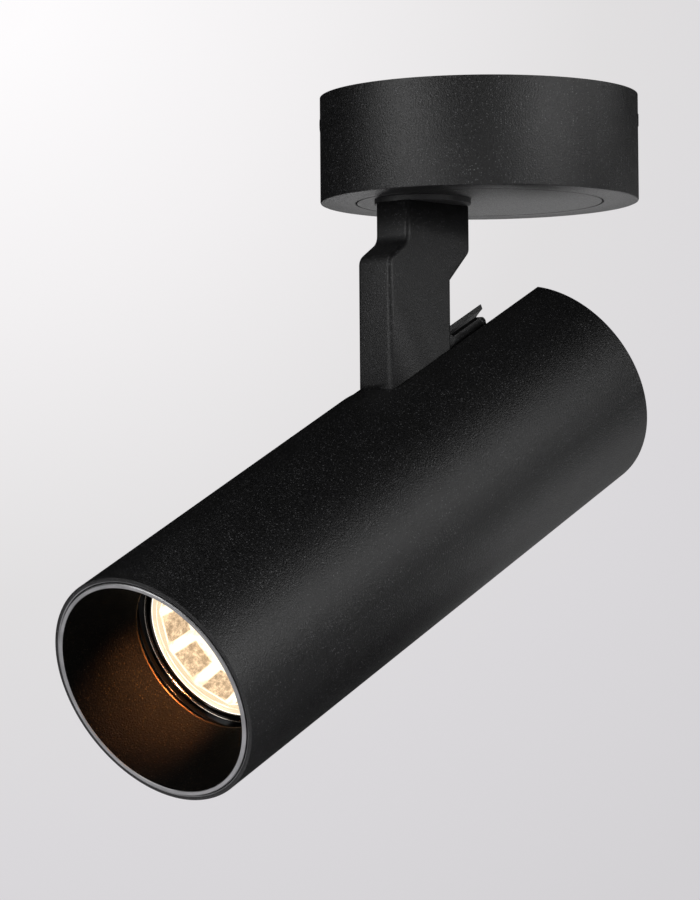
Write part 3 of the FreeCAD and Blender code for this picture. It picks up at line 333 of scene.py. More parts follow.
steatite = moulded("steatite", (0.74, 0.69, 0.6), 0.68)

ring_gloss = Finish("gloss_lamp_ring", (0.002, 0.002, 0.002), 0.12,
                    Coat_Weight=0.2, Coat_Roughness=0.06)
ring_gloss.roughness(ring_gloss.grain(700.0), 0.08, 0.16)
ring_gloss.bump(ring_gloss.grain(260.0, 2.0), 0.00002, 0.5)

clear_glass = Finish("clear_glass", (1.0, 0.985, 0.95), 0.03,
                     Transmission_Weight=1.0, IOR=1.46)
clear_glass.bump(clear_glass.grain(60.0, 2.0), 0.00002, 0.4)

# the lamp's mirror: its facets, and the painted glow in each: a window and a bright frame of painted
# highlight
FACETS_ROUND = 11
FACET_ROWS = 3
FACET_SEED = 4
FACET_TURN = -0.126
FACET_FRAME = 0.14
FACET_FRAME_SOFT = 0.04
WINDOW_MIDDLE_ROUND = 0.5
WINDOW_MIDDLE_UP = 0.6
OUTER_ROW_FROM = 0.66
FACET_PAINTED_GLOW = 1.42


def painted_facet_glow():
    """Faceted mirror with painted light: its emission paints the lamp's glow reflected in it, bright
    bands of painted highlight framing a mottled tan window in each facet of the outer row.
    facet_grid holds each corner's place round the mirror and up it."""
    made = Finish("mirror_facets_painted_glow", (0.12, 0.10, 0.08), 0.18, 1.0)
    tree = made.tree
    own = tree.nodes.new("ShaderNodeAttribute")
    own.attribute_name = "facet_light"
    place = tree.nodes.new("ShaderNodeAttribute")
    place.attribute_name = "facet_grid"
    apart = tree.nodes.new("ShaderNodeSeparateXYZ")
    made.link(place.outputs["Vector"], apart.inputs[0])
    ways = (
        (apart.outputs["X"], FACETS_ROUND, WINDOW_MIDDLE_ROUND),
        (apart.outputs["Y"], FACET_ROWS, WINDOW_MIDDLE_UP),
    )
    window = 1.0
    for share, count, middle in ways:
        inside = made.math("FRACT", made.math("MULTIPLY", share, count))
        off_middle = made.math("ABSOLUTE", made.math("SUBTRACT", inside, middle))
        from_edge = made.math("SUBTRACT", 0.5, off_middle)
        opened = made.span(from_edge, FACET_FRAME, FACET_FRAME + FACET_FRAME_SOFT)
        window = made.math("MULTIPLY", window, opened)
    outer = made.span(apart.outputs["Y"], OUTER_ROW_FROM, OUTER_ROW_FROM + 0.01)
    blotch = made.grain(420.0, 4.0, 0.7)
    fine = made.grain(1500.0, 2.0, 0.6)
    depth = made.span(own.outputs["Fac"], 0.0, 1.0, 0.75, 1.0)
    blotched = made.span(blotch, 0.42, 0.6, 0.3, 1.0)
    mottle = made.math("ADD", blotched, made.span(fine, 0.3, 0.7, -0.15, 0.15))
    outer_window = made.math("MULTIPLY", window, outer)
    shade = made.math("MULTIPLY", outer_window, made.math("MULTIPLY", mottle, depth))
    # bright streaks of painted highlight across the facets
    painted_streak = made.span(made.grain(260.0, 3.0, 0.6), 0.52, 0.75, 0.0, 0.2)
    shade = made.math("MAXIMUM", shade, painted_streak)
    stops = [
        (0.0, (1.0, 0.93, 0.78)),
        (0.12, (0.96, 0.72, 0.46)),
        (0.4, (0.58, 0.41, 0.26)),
        (1.0, (0.22, 0.15, 0.09)),
    ]
    # the emission paints the lamp's light reflected in the facets
    made.link(made.ramp(shade, stops), made.shader.inputs["Emission Color"])
    made.set("Emission Strength", FACET_PAINTED_GLOW)
    made.bump(blotch, 0.00006, 0.6)
    return made


def lit_glass(name, colour, strength):
    """Ribbed glass lit from within by the lamp."""
    made = Finish(name, (0.2, 0.17, 0.13), 0.25,
                  Emission_Color=(*colour, 1.0), Emission_Strength=strength)
    wave = made.grain(220.0, 3.0)
    made.colour(wave, [(0.3, (0.16, 0.14, 0.10)), (0.7, (0.24, 0.21, 0.17))])
    made.bump(wave, 0.00003, 0.5)
    return made


facets = painted_facet_glow()
rim_glass = lit_glass("lit_rim_glass", (1.0, 0.80, 0.54), 0.9)
edge_glass = lit_glass("lit_edge_glass", (1.0, 0.95, 0.86), 1.6)
burner_glow = lit_glass("burner_glow", (1.0, 0.86, 0.62), 2.2)
frost = moulded("mirror_back", (0.42, 0.36, 0.30), 0.3)


# ---------------------------------------------------------------- mesh makers
def piece(name, mesh, body, finish, replaced=(), smooth=30.0):
    """Put a finished mesh in the scene as a piece that rides on a body. Its faces keep their slots,
    filled with the finishes given, and the nodes that it replaces are hidden."""
    mesh.name = name
    made = bpy.data.objects.new(name, mesh)
    scene.collection.objects.link(made)
    bands = [face.material_index for face in mesh.polygons]
    mesh.materials.clear()
    for one in finish if isinstance(finish, list) else [finish]:
        mesh.materials.append(one.material)
    mesh.polygons.foreach_set("material_index", bands)
    if smooth:
        mesh.shade_smooth()
        mesh.set_sharp_from_angle(angle=math.radians(smooth))
    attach(made, body)
    if replaced:
        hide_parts(*replaced)
    return made


def ring(made, radius, height, segments):
    """A ring of vertices about z."""
    row = []
    for step in range(segments):
        angle = FULL_TURN * step / segments
        row.append(made.verts.new((radius * math.cos(angle), radius * math.sin(angle), height)))
    return row


def band(made, low, high, slot=0):
    """The faces between two rings. A ring of one vertex is a pole."""
    count = max(len(low), len(high))
    for step in range(count):
        following = (step + 1) % count
        if len(low) == 1:
            corners = [low[0], high[following], high[step]]
        elif len(high) == 1:
            corners = [low[step], low[following], high[0]]
        else:
            corners = [low[step], low[following], high[following], high[step]]
        made.faces.new(corners).material_index = slot


def plain_mesh(name, made):
    """Close a bmesh into a named mesh."""
    mesh = bpy.data.meshes.new(name)
    made.to_mesh(mesh)
    made.free()
    return mesh


def lathe(profile, place, segments=RING_SEGMENTS, banding=None):
    """Turn a closed profile of (radius, height) about z. banding maps a profile edge to a slot."""
    made = bmesh.new()
    rows = []
    for radius, height in profile:
        if radius < 1e-6:
            rows.append([made.verts.new((0.0, 0.0, height))])
        else:
            rows.append(ring(made, radius, height, segments))
    for index, low in enumerate(rows):
        high = rows[(index + 1) % len(rows)]
        if len(low) > 1 or len(high) > 1:
            band(made, low, high, (banding or {}).get(index, 0))
    bmesh.ops.recalc_face_normals(made, faces=made.faces)
    made.transform(place)
    return plain_mesh("turned", made)


def brick(low, high, place):
    """A box between two corners, for cutting."""
    made = bmesh.new()
    bmesh.ops.create_cube(made, size=1.0)
    for vert in made.verts:
        vert.co = Vector(low[axis] if vert.co[axis] < 0 else high[axis] for axis in range(3))
    made.transform(place)
    return plain_mesh("brick", made)


def settled(mesh, *changes):
    """Apply modifiers, given as (kind, {setting: value}), and return the plain mesh."""
    holder = bpy.data.objects.new("holder", mesh)
    scene.collection.objects.link(holder)
    for kind, settings in changes:
        modifier = holder.modifiers.new(kind, kind)
        for setting, value in settings.items():
            setattr(modifier, setting, value)
    graph = bpy.context.evaluated_depsgraph_get()
    made = bpy.data.meshes.new_from_object(holder.evaluated_get(graph))
    bpy.data.objects.remove(holder)
    return made


def cut_by(mesh, tool_meshes):
    """Take tools away from a mesh."""
    tools = []
    changes = []
    for tool_mesh in tool_meshes:
        tool = bpy.data.objects.new("tool", tool_mesh)
        scene.collection.objects.link(tool)
        tools.append(tool)
        changes.append(("BOOLEAN", {"operation": "DIFFERENCE", "solver": "EXACT", "object": tool}))
    made = settled(mesh, *changes)
    for tool in tools:
        bpy.data.objects.remove(tool)
    return made


def skin(node, name, finish, smooth=30.0):
    """A smooth copy of a CAD node's surface that stands for it."""
    made = bmesh.new()
    made.from_mesh(nodes[node].data)
    bmesh.ops.remove_doubles(made, verts=made.verts, dist=1e-6)
    return piece(name, plain_mesh(name, made), nodes[node]["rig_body"], finish, (node,), smooth)


# ---------------------------------------------------------------- ceiling box
shell_floor = -CANOPY_HEIGHT + CANOPY_FLOOR
shell_inside = CANOPY_RADIUS - CANOPY_WALL
disc_way = DISC_RADIUS + DISC_GAP
shell_profile = [
    (CANOPY_RADIUS, 0.0),
    (shell_inside, 0.0),
    (shell_inside, shell_floor),
    (disc_way, shell_floor),
    (disc_way, -CANOPY_HEIGHT + DISC_EASE),
    (disc_way + DISC_EASE, -CANOPY_HEIGHT),
    (CANOPY_RADIUS - CANOPY_BEVEL, -CANOPY_HEIGHT),
    (CANOPY_RADIUS - CANOPY_BEVEL_STEP, -CANOPY_HEIGHT + CANOPY_BEVEL_STEP),
    (CANOPY_RADIUS, -CANOPY_HEIGHT + CANOPY_BEVEL),
]
piece("ceiling_box", lathe(shell_profile, CEILING_PLACE), "canopy", coat, ("canopy_shell",))

disc_top = shell_floor + DISC_LIP_THICKNESS
disc_profile = [
    (0.0, -CANOPY_HEIGHT),
    (DISC_RADIUS - DISC_EASE, -CANOPY_HEIGHT),
    (DISC_RADIUS, -CANOPY_HEIGHT + DISC_EASE),
    (DISC_RADIUS, shell_floor),
    (DISC_RADIUS + DISC_LIP, shell_floor),
    (DISC_RADIUS + DISC_LIP, disc_top),
    (0.0, disc_top),
]
hole_profile = [(0.0, -40.0), (STUD_HOLE, -40.0), (STUD_HOLE, -20.0), (0.0, -20.0)]
hole_place = CEILING_PLACE @ Matrix.Translation((SWIVEL_ACROSS, -SWIVEL_FORWARD, 0.0))
disc_mesh = cut_by(lathe(disc_profile, CEILING_PLACE), [lathe(hole_profile, hole_place, HOLE_SEGMENTS)])
piece("underside_disc", disc_mesh, "canopy", coat, ("canopy_disc",))

# ---------------------------------------------------------------- arm
skin("arm", "cranked_arm", arm_coat, 40.0)
skin("stop_finger", "finger_behind_arm", arm_coat, 40.0)
skin("swivel_collar", "swivel_washer_ring", nylon)

# ---------------------------------------------------------------- tube
bore = TUBE_RADIUS - TUBE_WALL
tube_profile = [
    (TUBE_RADIUS - TUBE_BEVEL, 0.0),
    (TUBE_RADIUS - TUBE_BEVEL_STEP, TUBE_BEVEL_STEP),
    (TUBE_RADIUS, TUBE_BEVEL),
    (TUBE_RADIUS, TUBE_LENGTH - TUBE_BEVEL),
    (TUBE_RADIUS - TUBE_BEVEL_STEP, TUBE_LENGTH - TUBE_BEVEL_STEP),
    (TUBE_RADIUS - TUBE_BEVEL, TUBE_LENGTH),
    (bore + TUBE_INNER_EDGE, TUBE_LENGTH),
    (bore, TUBE_LENGTH - TUBE_INNER_EDGE / 2),
    (bore, 0.0),
]
opening = brick((-SLOT_FAR, 0.0, -SLOT_PAST_REAR), (SLOT_NEAR, SLOT_PAST_TOP, SLOT_END), TUBE_PLACE)
tube_blank = lathe(tube_profile, TUBE_PLACE, TUBE_SEGMENTS, {6: 1})
# slot 1, the tube's bare inner edge, has to be on the blank before its opening is cut
for one in (coat, worn_edge):
    tube_blank.materials.append(one.material)
tube_mesh = cut_by(tube_blank, [opening])
piece("spot_tube", tube_mesh, "head", [coat, worn_edge], ("tube_housing",))
skin("rear_cap", "tube_rear_cap", coat)
skin("hinge_bracket", "hinge_frame", zinc)

# ---------------------------------------------------------------- baffle
rim_inside = BAFFLE_SKIRT - BAFFLE_RIM
skirt_inside = BAFFLE_SKIRT - SKIRT_WALL
slope = (rim_inside - BAFFLE_MOUTH) / (BAFFLE_FRONT - BAFFLE_REAR)
meet = BAFFLE_REAR + (skirt_inside - BAFFLE_MOUTH - BAFFLE_WALL) / slope
# from the rim down the cone to its mouth, out along the rear and back up the skirt; slot 1 is the
# bare rim and slot 2 the mouth's dark edge
baffle_profile = [
    (rim_inside, BAFFLE_FRONT - 0.15),
    (BAFFLE_MOUTH + slope * MOUTH_LAND, BAFFLE_REAR + MOUTH_LAND),
    (BAFFLE_MOUTH + 0.06, BAFFLE_REAR + 0.2),
    (BAFFLE_MOUTH + 0.26, BAFFLE_REAR),
    (BAFFLE_MOUTH + BAFFLE_WALL, BAFFLE_REAR),
    (skirt_inside, meet),
    (skirt_inside, SKIRT_REAR),
    (BAFFLE_SKIRT, SKIRT_REAR),
    (BAFFLE_SKIRT, BAFFLE_FRONT - BAFFLE_EASE),
    (BAFFLE_SKIRT - BAFFLE_EASE, BAFFLE_FRONT),
    (rim_inside + 0.15, BAFFLE_FRONT),
]
baffle_bands = {1: 2, 2: 2, 7: 1, 8: 1, 9: 1, 10: 1}
baffle_mesh = lathe(baffle_profile, TUBE_PLACE, TUBE_SEGMENTS, baffle_bands)
piece("glare_cone", baffle_mesh, "head", [cone_coat, rim_coat, mouth_edge], ("baffle",))

# ---------------------------------------------------------------- lamp
ring_face = LAMP_RIM + RING_HEIGHT / 4.0
ring_under = LAMP_RIM + 0.02
ring_profile = [
    (RING_INNER, ring_under),
    (RING_OUTER, ring_under),
    (RING_OUTER, LAMP_RIM + RING_HEIGHT - 0.2),
    (RING_OUTER - RING_EDGE, LAMP_RIM + RING_HEIGHT),
    (RING_OUTER - RING_EDGE, ring_face),
    (RING_INNER + 0.15, ring_face),
    (RING_INNER, ring_face - 0.15),
]
ring_mesh = lathe(ring_profile, TUBE_PLACE)
piece("lamp_retaining_ring", ring_mesh, "head", ring_gloss, ("lamp_ring",), 40.0)

wire_profile = []
for step in range(WIRE_SIDES):
    angle = FULL_TURN * step / WIRE_SIDES
    wire_profile.append((
        RING_INNER + WIRE_STANDS_OFF + WIRE_RADIUS * math.cos(angle),
        ring_face + WIRE_RADIUS * (0.6 + math.sin(angle)),
    ))
wire_mesh = lathe(wire_profile, TUBE_PLACE)
piece("snap_wire", wire_mesh, "head", wire_chrome, smooth=60.0)


def value_node(tree, kind, **settings):
    """A new node with some of its own settings."""
    node = tree.nodes.new(kind)
    for setting, value in settings.items():
        setattr(node, setting, value)
    return node


MIRROR_SIZES = {
    "Mouth radius": 22.7,
    "Cup radius": 8.1,
    "Depth": 29.6,
    "Rim height": 174.9,
    "Row crowding": 1.26,
    "Bulge": 0.86,
    "Turn": FACET_TURN,
}
MIRROR_COUNTS = {"Facets round": FACETS_ROUND, "Rows": FACET_ROWS, "Seed": FACET_SEED}


def mirror_tree(finish):
    """Geometry Nodes for the faceted mirror: a sleeve of facets wrapped onto the lamp's curve."""
    tree = bpy.data.node_groups.new("faceted_mirror", "GeometryNodeTree")
    face = tree.interface
    for name in MIRROR_SIZES:
        face.new_socket(name, in_out="INPUT", socket_type="NodeSocketFloat")
    for name in MIRROR_COUNTS:
        face.new_socket(name, in_out="INPUT", socket_type="NodeSocketInt")
    face.new_socket("Geometry", in_out="OUTPUT", socket_type="NodeSocketGeometry")
    enter = tree.nodes.new("NodeGroupInput")
    leave = tree.nodes.new("NodeGroupOutput")
    link = tree.links.new

    def calc(kind, first, second=None, third=None):
        """One sum on numbers or sockets."""
        node = value_node(tree, "ShaderNodeMath", operation=kind)
        for index, value in enumerate((first, second, third)):
            if value is None:
                continue
            if isinstance(value, (int, float)):
                node.inputs[index].default_value = value
            else:
                link(value, node.inputs[index])
        return node.outputs[0]

    grid = tree.nodes.new("GeometryNodeMeshGrid")
    grid.inputs["Size X"].default_value = 1.0
    grid.inputs["Size Y"].default_value = 1.0
    link(calc("ADD", enter.outputs["Facets round"], 1), grid.inputs["Vertices X"])
    link(calc("ADD", enter.outputs["Rows"], 1), grid.inputs["Vertices Y"])
    position = tree.nodes.new("GeometryNodeInputPosition")
    split = tree.nodes.new("ShaderNodeSeparateXYZ")
    link(position.outputs[0], split.inputs[0])
    around = calc("ADD", split.outputs["X"], 0.5)
    up = calc("ADD", split.outputs["Y"], 0.5)
    row_height = calc("POWER", up, enter.outputs["Row crowding"])
    angle = calc("MULTIPLY_ADD", around, FULL_TURN, enter.outputs["Turn"])
    quarter_wave = calc("SINE", calc("MULTIPLY", row_height, math.pi / 2))
    bulge = calc("POWER", quarter_wave, enter.outputs["Bulge"])
    reach = calc("SUBTRACT", enter.outputs["Mouth radius"], enter.outputs["Cup radius"])
    radius = calc("MULTIPLY_ADD", reach, bulge, enter.outputs["Cup radius"])
    height = calc("MULTIPLY", calc("SUBTRACT", row_height, 1.0), enter.outputs["Depth"])
    joined = tree.nodes.new("ShaderNodeCombineXYZ")
    link(calc("MULTIPLY", radius, calc("COSINE", angle)), joined.inputs["X"])
    link(calc("MULTIPLY", radius, calc("SINE", angle)), joined.inputs["Y"])
    link(calc("ADD", height, enter.outputs["Rim height"]), joined.inputs["Z"])
    mark = value_node(tree, "GeometryNodeStoreNamedAttribute",
                      data_type="FLOAT_VECTOR", domain="CORNER")
    mark.inputs["Name"].default_value = "facet_grid"
    flat_place = tree.nodes.new("ShaderNodeCombineXYZ")
    link(around, flat_place.inputs["X"])
    link(up, flat_place.inputs["Y"])
    link(grid.outputs["Mesh"], mark.inputs["Geometry"])
    link(flat_place.outputs[0], mark.inputs["Value"])
    wrap = tree.nodes.new("GeometryNodeSetPosition")
    link(mark.outputs[0], wrap.inputs["Geometry"])
    link(joined.outputs[0], wrap.inputs["Position"])
    weld = tree.nodes.new("GeometryNodeMergeByDistance")
    weld.inputs["Distance"].default_value = 0.001
    link(wrap.outputs[0], weld.inputs["Geometry"])
    chance = value_node(tree, "FunctionNodeRandomValue", data_type="FLOAT")
    link(enter.outputs["Seed"], chance.inputs["Seed"])
    store = value_node(tree, "GeometryNodeStoreNamedAttribute",
                       data_type="FLOAT", domain="FACE")
    store.inputs["Name"].default_value = "facet_light"
    link(weld.outputs[0], store.inputs["Geometry"])
    link(chance.outputs[1], store.inputs["Value"])
    real = tree.nodes.new("GeometryNodeRealizeInstances")
    link(store.outputs[0], real.inputs[0])
    paint = tree.nodes.new("GeometryNodeSetMaterial")
    paint.inputs["Material"].default_value = finish.material
    link(real.outputs[0], paint.inputs["Geometry"])
    link(paint.outputs[0], leave.inputs[0])
    return tree


def grown(tree, place, values):
    """The plain mesh that a node tree gives for these inputs, carried to its place."""
    blank = bpy.data.meshes.new("grown")
    holder = bpy.data.objects.new("grown", blank)
    scene.collection.objects.link(holder)
    modifier = holder.modifiers.new("tree", "NODES")
    modifier.node_group = tree
    for item in tree.interface.items_tree:
        if item.in_out == "INPUT":
            modifier[item.identifier] = values[item.name]
    graph = bpy.context.evaluated_depsgraph_get()
    made = bpy.data.meshes.new_from_object(holder.evaluated_get(graph))
    bpy.data.objects.remove(holder)
    made.transform(place)
    return made


# the mirror's facets glow with painted reflected light
facet_mesh = grown(mirror_tree(facets), TUBE_PLACE, {**MIRROR_SIZES, **MIRROR_COUNTS})
piece("mirror_facets", facet_mesh, "head", facets, smooth=0)

cup_outside = []
cup_inside = []
cup_flare = LAMP_RADIUS - LAMP_NECK_RADIUS
cup_rise = LAMP_RIM - LAMP_RIM_HEIGHT - LAMP_NECK_TOP
for step in range(CUP_STEPS + 1):
    share = step / CUP_STEPS
    radius = LAMP_NECK_RADIUS + cup_flare * math.sin(share * math.pi / 2) ** CUP_BULGE
    height = LAMP_NECK_TOP + cup_rise * share
    cup_outside.append((radius, height))
    if 0 < step < CUP_STEPS:
        cup_inside.insert(0, (radius - CUP_GLASS, height))
cup_profile = cup_outside + [
    (LAMP_RADIUS, LAMP_RIM - 0.5),
    (LAMP_RADIUS - 0.15, LAMP_RIM - 0.12),
    (LAMP_RADIUS - 0.5, LAMP_RIM),
    (LAMP_RADIUS - 0.8, LAMP_RIM - 0.1),
    (MIRROR_EDGE, LAMP_RIM - 1.0),
    (MIRROR_EDGE - 0.2, LAMP_RIM - LAMP_RIM_HEIGHT),
] + cup_inside + [
    (0.0, LAMP_NECK_TOP + CUP_BOTTOM),
    (0.0, LAMP_NECK_TOP),
]
# the rim's outer edges glow white and its inner ones amber
rim_bands = {edge: 1 for edge in range(CUP_STEPS, CUP_STEPS + 4)}
rim_bands.update({CUP_STEPS + 4: 2, CUP_STEPS + 5: 2})
cup_mesh = lathe(cup_profile, TUBE_PLACE, CUP_SEGMENTS, rim_bands)
piece("lamp_cup", cup_mesh, "head", [frost, edge_glass, rim_glass], ("lamp_reflector",), 50.0)

glass_under = LAMP_RIM - COVER_GLASS_UNDER
glass_top = LAMP_RIM - COVER_GLASS_TOP
glass_profile = [
    (0.0, glass_under),
    (MIRROR_EDGE, glass_under),
    (MIRROR_EDGE, glass_top),
    (0.0, glass_top),
]
glass_mesh = lathe(glass_profile, TUBE_PLACE, GLASS_SEGMENTS)
piece("lamp_cover_glass", glass_mesh, "head", clear_glass, ("lamp_front_glass",))

# ---------------------------------------------------------------- finishes of the carried pieces
FINISHES = {
    "ceiling_plate": zinc, "disc_screws": zinc, "side_screws": black_oxide, "cable_grommet": rubber,
    "terminal_block": block_plastic, "terminal_screws": brass, "block_fixing_screws": zinc,
    "earth_screw": brass, "earth_washer": zinc, "canopy_lead": sleeve, "swivel_stud": zinc,
    "swivel_washer": zinc, "swivel_spring_washer": zinc, "swivel_nut": zinc, "tilt_axle": zinc,
    "friction_washers": nylon, "tilt_washers": zinc, "tilt_nuts": zinc, "arm_lead": sleeve,
    "finger_screw": black_oxide, "cap_screws": black_oxide, "bracket_screws": black_oxide,
    "can_screws": zinc, "lamp_can": zinc, "centring_ring": coat, "lampholder": steatite,
    "holder_contacts": bronze, "holder_screws": zinc, "lamp_pins": zinc, "lamp_base": steatite,
    "lamp_burner": burner_glow, "baffle_seal": rubber, "head_lead": sleeve,
}
for node, finish in FINISHES.items():
    nodes[node].data.materials.clear()
    nodes[node].data.materials.append(finish.material)

# ---------------------------------------------------------------- camera, as the photograph's
CAMERA_AT = Vector((736.8, -883.3, -161.4)) * MM
CAMERA_RIGHT = Vector((0.7442, 0.6680, -0.0078)).normalized()
CAMERA_FORWARD = Vector((-0.6671, 0.7437, 0.0440)).normalized()
CAMERA_UP = CAMERA_RIGHT.cross(CAMERA_FORWARD).normalized()
FOCAL_PIXELS = 3669.4
PHOTO_WIDTH = 700
PHOTO_HEIGHT = 900

lens = bpy.data.cameras.new("camera")
lens.sensor_width = 36.0
# the sensor's width lies along the frame's longer side, its height
lens.lens = FOCAL_PIXELS * lens.sensor_width / PHOTO_HEIGHT
camera = bpy.data.objects.new("camera", lens)
turn = Matrix((CAMERA_RIGHT, CAMERA_UP, -CAMERA_FORWARD)).transposed().to_4x4()
camera.matrix_world = Matrix.Translation(CAMERA_AT) @ turn
scene.collection.objects.link(camera)
scene.camera = camera

# ---------------------------------------------------------------- studio, in metres
FLOOR_DROP = 2.2
WALL_RADIUS = 5.0
WALL_TOP = 3.2
WALL_CURVE = 1.2
WALL_CURVE_STEPS = 12
STUDIO_SEGMENTS = 96
FLOOR_SHOWN = 0.75
TENT_RADIUS = 2.6
# each ring's share of the tent's radius, and its height
TENT_RINGS = ((1.0, -1.3), (1.0, 1.6), (0.3, 2.4))

# the wall's glow, in photo pixels: its brightest spot, then its tone at distances from there
BRIGHT_AT = (-60.0, -60.0)
GLOW_REACH = 1400.0
WALL_PAINTED_LIGHT_TONES = (
    (127.0, (0.99, 0.975, 0.985)),
    (371.0, (0.893, 0.876, 0.885)),
    (666.0, (0.751, 0.738, 0.745)),
    (907.0, (0.701, 0.686, 0.708)),
    (1197.0, (0.650, 0.637, 0.657)),
)
CAMERA_TO_AXIS = 1.15


def studio_mesh():
    """A round floor that curves up into a wall."""
    flat_radius = WALL_RADIUS - WALL_CURVE
    outline = [(1e-4, -FLOOR_DROP), (flat_radius, -FLOOR_DROP)]
    for step in range(1, WALL_CURVE_STEPS + 1):
        angle = math.pi / 2 * step / WALL_CURVE_STEPS
        outline.append((flat_radius + WALL_CURVE * math.sin(angle),
                        -FLOOR_DROP + WALL_CURVE * (1.0 - math.cos(angle))))
    outline.append((WALL_RADIUS, WALL_TOP))
    made = bmesh.new()
    rows = [ring(made, radius, height, STUDIO_SEGMENTS) for radius, height in outline]
    for low, high in zip(rows, rows[1:]):
        band(made, low, high)
    mesh = plain_mesh("studio", made)
    mesh.shade_smooth()
    return mesh


def studio_finish():
    """Pale matt paper with painted light: its emission paints a soft fall from white to grey round the
    brightest spot on the wall.
    """
    made = Finish("studio_paper_painted_light", (0.8, 0.8, 0.8), 0.9)
    tree = made.tree
    fibres = made.grain(40.0, 3.0)
    made.colour(fibres, [(0.3, (0.78, 0.78, 0.785)), (0.7, (0.82, 0.815, 0.82))])
    bright_x, bright_y = BRIGHT_AT
    ray = (CAMERA_FORWARD + CAMERA_RIGHT * ((bright_x - PHOTO_WIDTH / 2) / FOCAL_PIXELS)
           - CAMERA_UP * ((bright_y - PHOTO_HEIGHT / 2) / FOCAL_PIXELS))
    reach = CAMERA_TO_AXIS + WALL_RADIUS
    per_pixel = reach / FOCAL_PIXELS
    away = tree.nodes.new("ShaderNodeVectorMath")
    away.operation = "DISTANCE"
    made.link(made.place, away.inputs[0])
    away.inputs[1].default_value = CAMERA_AT + ray * reach
    share = made.span(away.outputs["Value"], 0.0, GLOW_REACH * per_pixel)
    # the pool of light on the wall is painted: its tones are emitted, not lit
    tones = made.ramp(share, [(pixels / GLOW_REACH, tone) for pixels, tone in WALL_PAINTED_LIGHT_TONES])
    glow = tree.nodes.new("ShaderNodeEmission")
    made.link(tones, glow.inputs["Color"])
    ways = tree.nodes.new("ShaderNodeLightPath")
    apart = tree.nodes.new("ShaderNodeSeparateXYZ")
    made.link(made.place, apart.inputs[0])
    on_wall = made.span(apart.outputs["Z"], -FLOOR_DROP + 0.3, -FLOOR_DROP + WALL_CURVE, FLOOR_SHOWN)
    mirrored = made.math("MAXIMUM", ways.outputs["Is Glossy Ray"], ways.outputs["Is Transmission Ray"])
    direct = made.math("MULTIPLY", ways.outputs["Is Camera Ray"], on_wall)
    mix = tree.nodes.new("ShaderNodeMixShader")
    made.link(made.math("MAXIMUM", mirrored, direct), mix.inputs["Fac"])
    made.link(made.shader.outputs[0], mix.inputs[1])
    made.link(glow.outputs[0], mix.inputs[2])
    made.link(mix.outputs[0], tree.nodes["Material Output"].inputs["Surface"])
    return made


studio = bpy.data.objects.new("studio", studio_mesh())
studio.data.materials.append(studio_finish().material)
scene.collection.objects.link(studio)


def tent_mesh():
    """Dark cloth round and over the subject that keeps reflections off its upper side."""
    made = bmesh.new()
    rows = [ring(made, TENT_RADIUS * share, height, STUDIO_SEGMENTS) for share, height in TENT_RINGS]
    for low, high in zip(rows, rows[1:]):
        band(made, low, high)
    made.faces.new(rows[-1])
    return plain_mesh("black_tent", made)


tent = bpy.data.objects.new("black_tent", tent_mesh())
cloth = Finish("black_cloth", (0.01, 0.01, 0.01), 1.0, Specular_IOR_Level=0.0)
tent.data.materials.append(cloth.material)
tent.visible_camera = False
scene.collection.objects.link(tent)

SUBJECT = Vector((0.0, -0.03, -0.1))
BOX_DISTANCE = 1.6
BOX_WIDTH = 0.7
BOX_HEIGHT = 0.9
# azimuth and elevation in degrees, and watts
SOFT_BOXES = {
    "left_box": (-56.0, 4.0, 9.6),
    "right_box": (47.0, 6.0, 9.8),
    "flank_box": (92.0, 21.0, 4.6),
    "high_left_box": (-60.0, 42.0, 3.4),
    "low_left_box": (-30.0, -30.0, 3.4),
    "front_box": (5.0, 8.0, 1.6),
    "rear_low_box": (178.0, -35.0, 3.6),
    "rear_box": (160.0, -12.0, 0.3),
    "rear_flank_box": (142.0, -8.0, 0.25),
    "rear_side_box": (122.0, -20.0, 2.0),
}


def aim_light(holder, way):
    """Turn a light to shine along a direction, unseen by the camera itself."""
    holder.rotation_mode = "QUATERNION"
    holder.rotation_quaternion = way.to_track_quat("-Z", "Y")
    holder.visible_camera = False
    scene.collection.objects.link(holder)


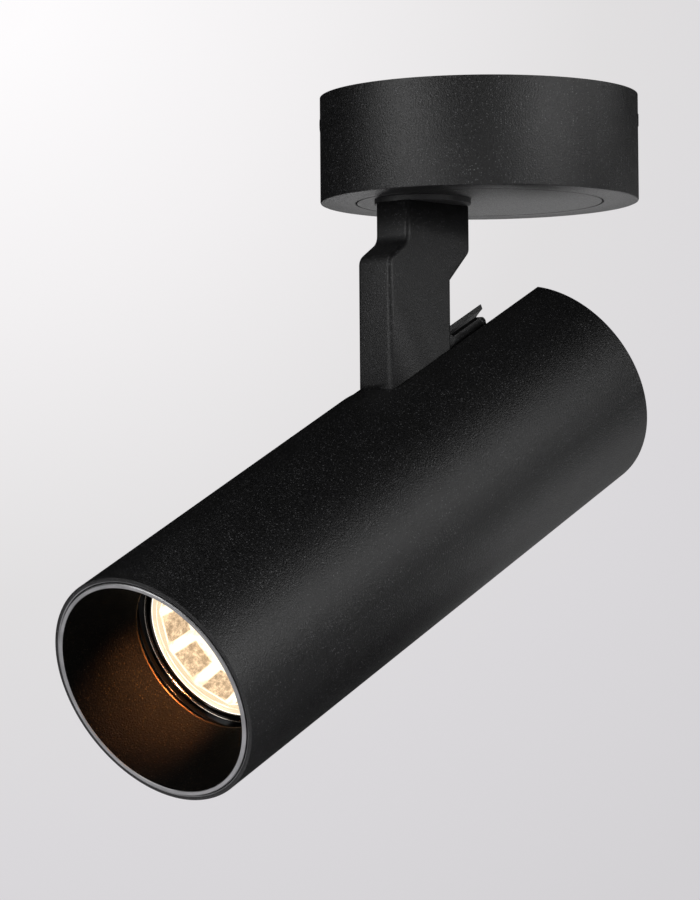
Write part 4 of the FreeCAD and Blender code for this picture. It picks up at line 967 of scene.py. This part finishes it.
def soft_box(name, azimuth, elevation, power):
    """A soft light that faces the subject. Azimuth 0 is in front, turning to the camera's right."""
    light = bpy.data.lights.new(name, "AREA")
    light.shape = "RECTANGLE"
    light.size = BOX_WIDTH
    light.size_y = BOX_HEIGHT
    light.energy = power
    holder = bpy.data.objects.new(name, light)
    flat = Vector((-CAMERA_FORWARD.x, -CAMERA_FORWARD.y, 0.0)).normalized()
    side = Vector((-flat.y, flat.x, 0.0))
    turn_by = math.radians(azimuth)
    rise = math.radians(elevation)
    level = flat * math.cos(turn_by) + side * math.sin(turn_by)
    way = level * math.cos(rise) + Vector((0, 0, 1)) * math.sin(rise)
    holder.location = SUBJECT + way * BOX_DISTANCE
    aim_light(holder, -way)


for box, (azimuth, elevation, power) in SOFT_BOXES.items():
    soft_box(box, azimuth, elevation, power)


def dark_card(name, centre, towards, width, height):
    """A black card beside the subject, seen only in its reflections."""
    made = bmesh.new()
    bmesh.ops.create_grid(made, x_segments=1, y_segments=1, size=0.5)
    turn_card = (Vector(towards) - Vector(centre)).to_track_quat("Z", "Y").to_matrix().to_4x4()
    made.transform(Matrix.Translation(centre) @ turn_card @ Matrix.Diagonal((width, height, 1.0, 1.0)))
    mesh = plain_mesh(name, made)
    mesh.materials.append(cloth.material)
    card = bpy.data.objects.new(name, mesh)
    card.visible_camera = False
    card.visible_shadow = False
    scene.collection.objects.link(card)


dark_card("card_under_front", (-0.03, 0.03, -0.38), (0.02, -0.12, -0.335), 0.42, 0.35)

# the lamp's stray light, which warms one side of the cone
glow_light = bpy.data.lights.new("lamp_glow", "SPOT")
glow_light.energy = 0.75
glow_light.color = (1.0, 0.42, 0.16)
glow_light.spot_size = math.radians(70.0)
glow_light.spot_blend = 1.0
glow_light.shadow_soft_size = 0.004
glow_from = TUBE_PLACE @ Vector((9.0, 11.0, LAMP_RIM + 3.0))
glow_to = TUBE_PLACE @ Vector((-22.0, -13.0, BAFFLE_REAR + 3.0))
glow_holder = bpy.data.objects.new("lamp_glow", glow_light)
glow_holder.location = glow_from
aim_light(glow_holder, glow_to - glow_from)

world = bpy.data.worlds.new("room")
world.use_nodes = True
room_air = world.node_tree.nodes["Background"]
room_air.inputs["Color"].default_value = (0.7, 0.69, 0.71, 1.0)
room_air.inputs["Strength"].default_value = 1.0
scene.world = world

scene.view_settings.view_transform = "Standard"
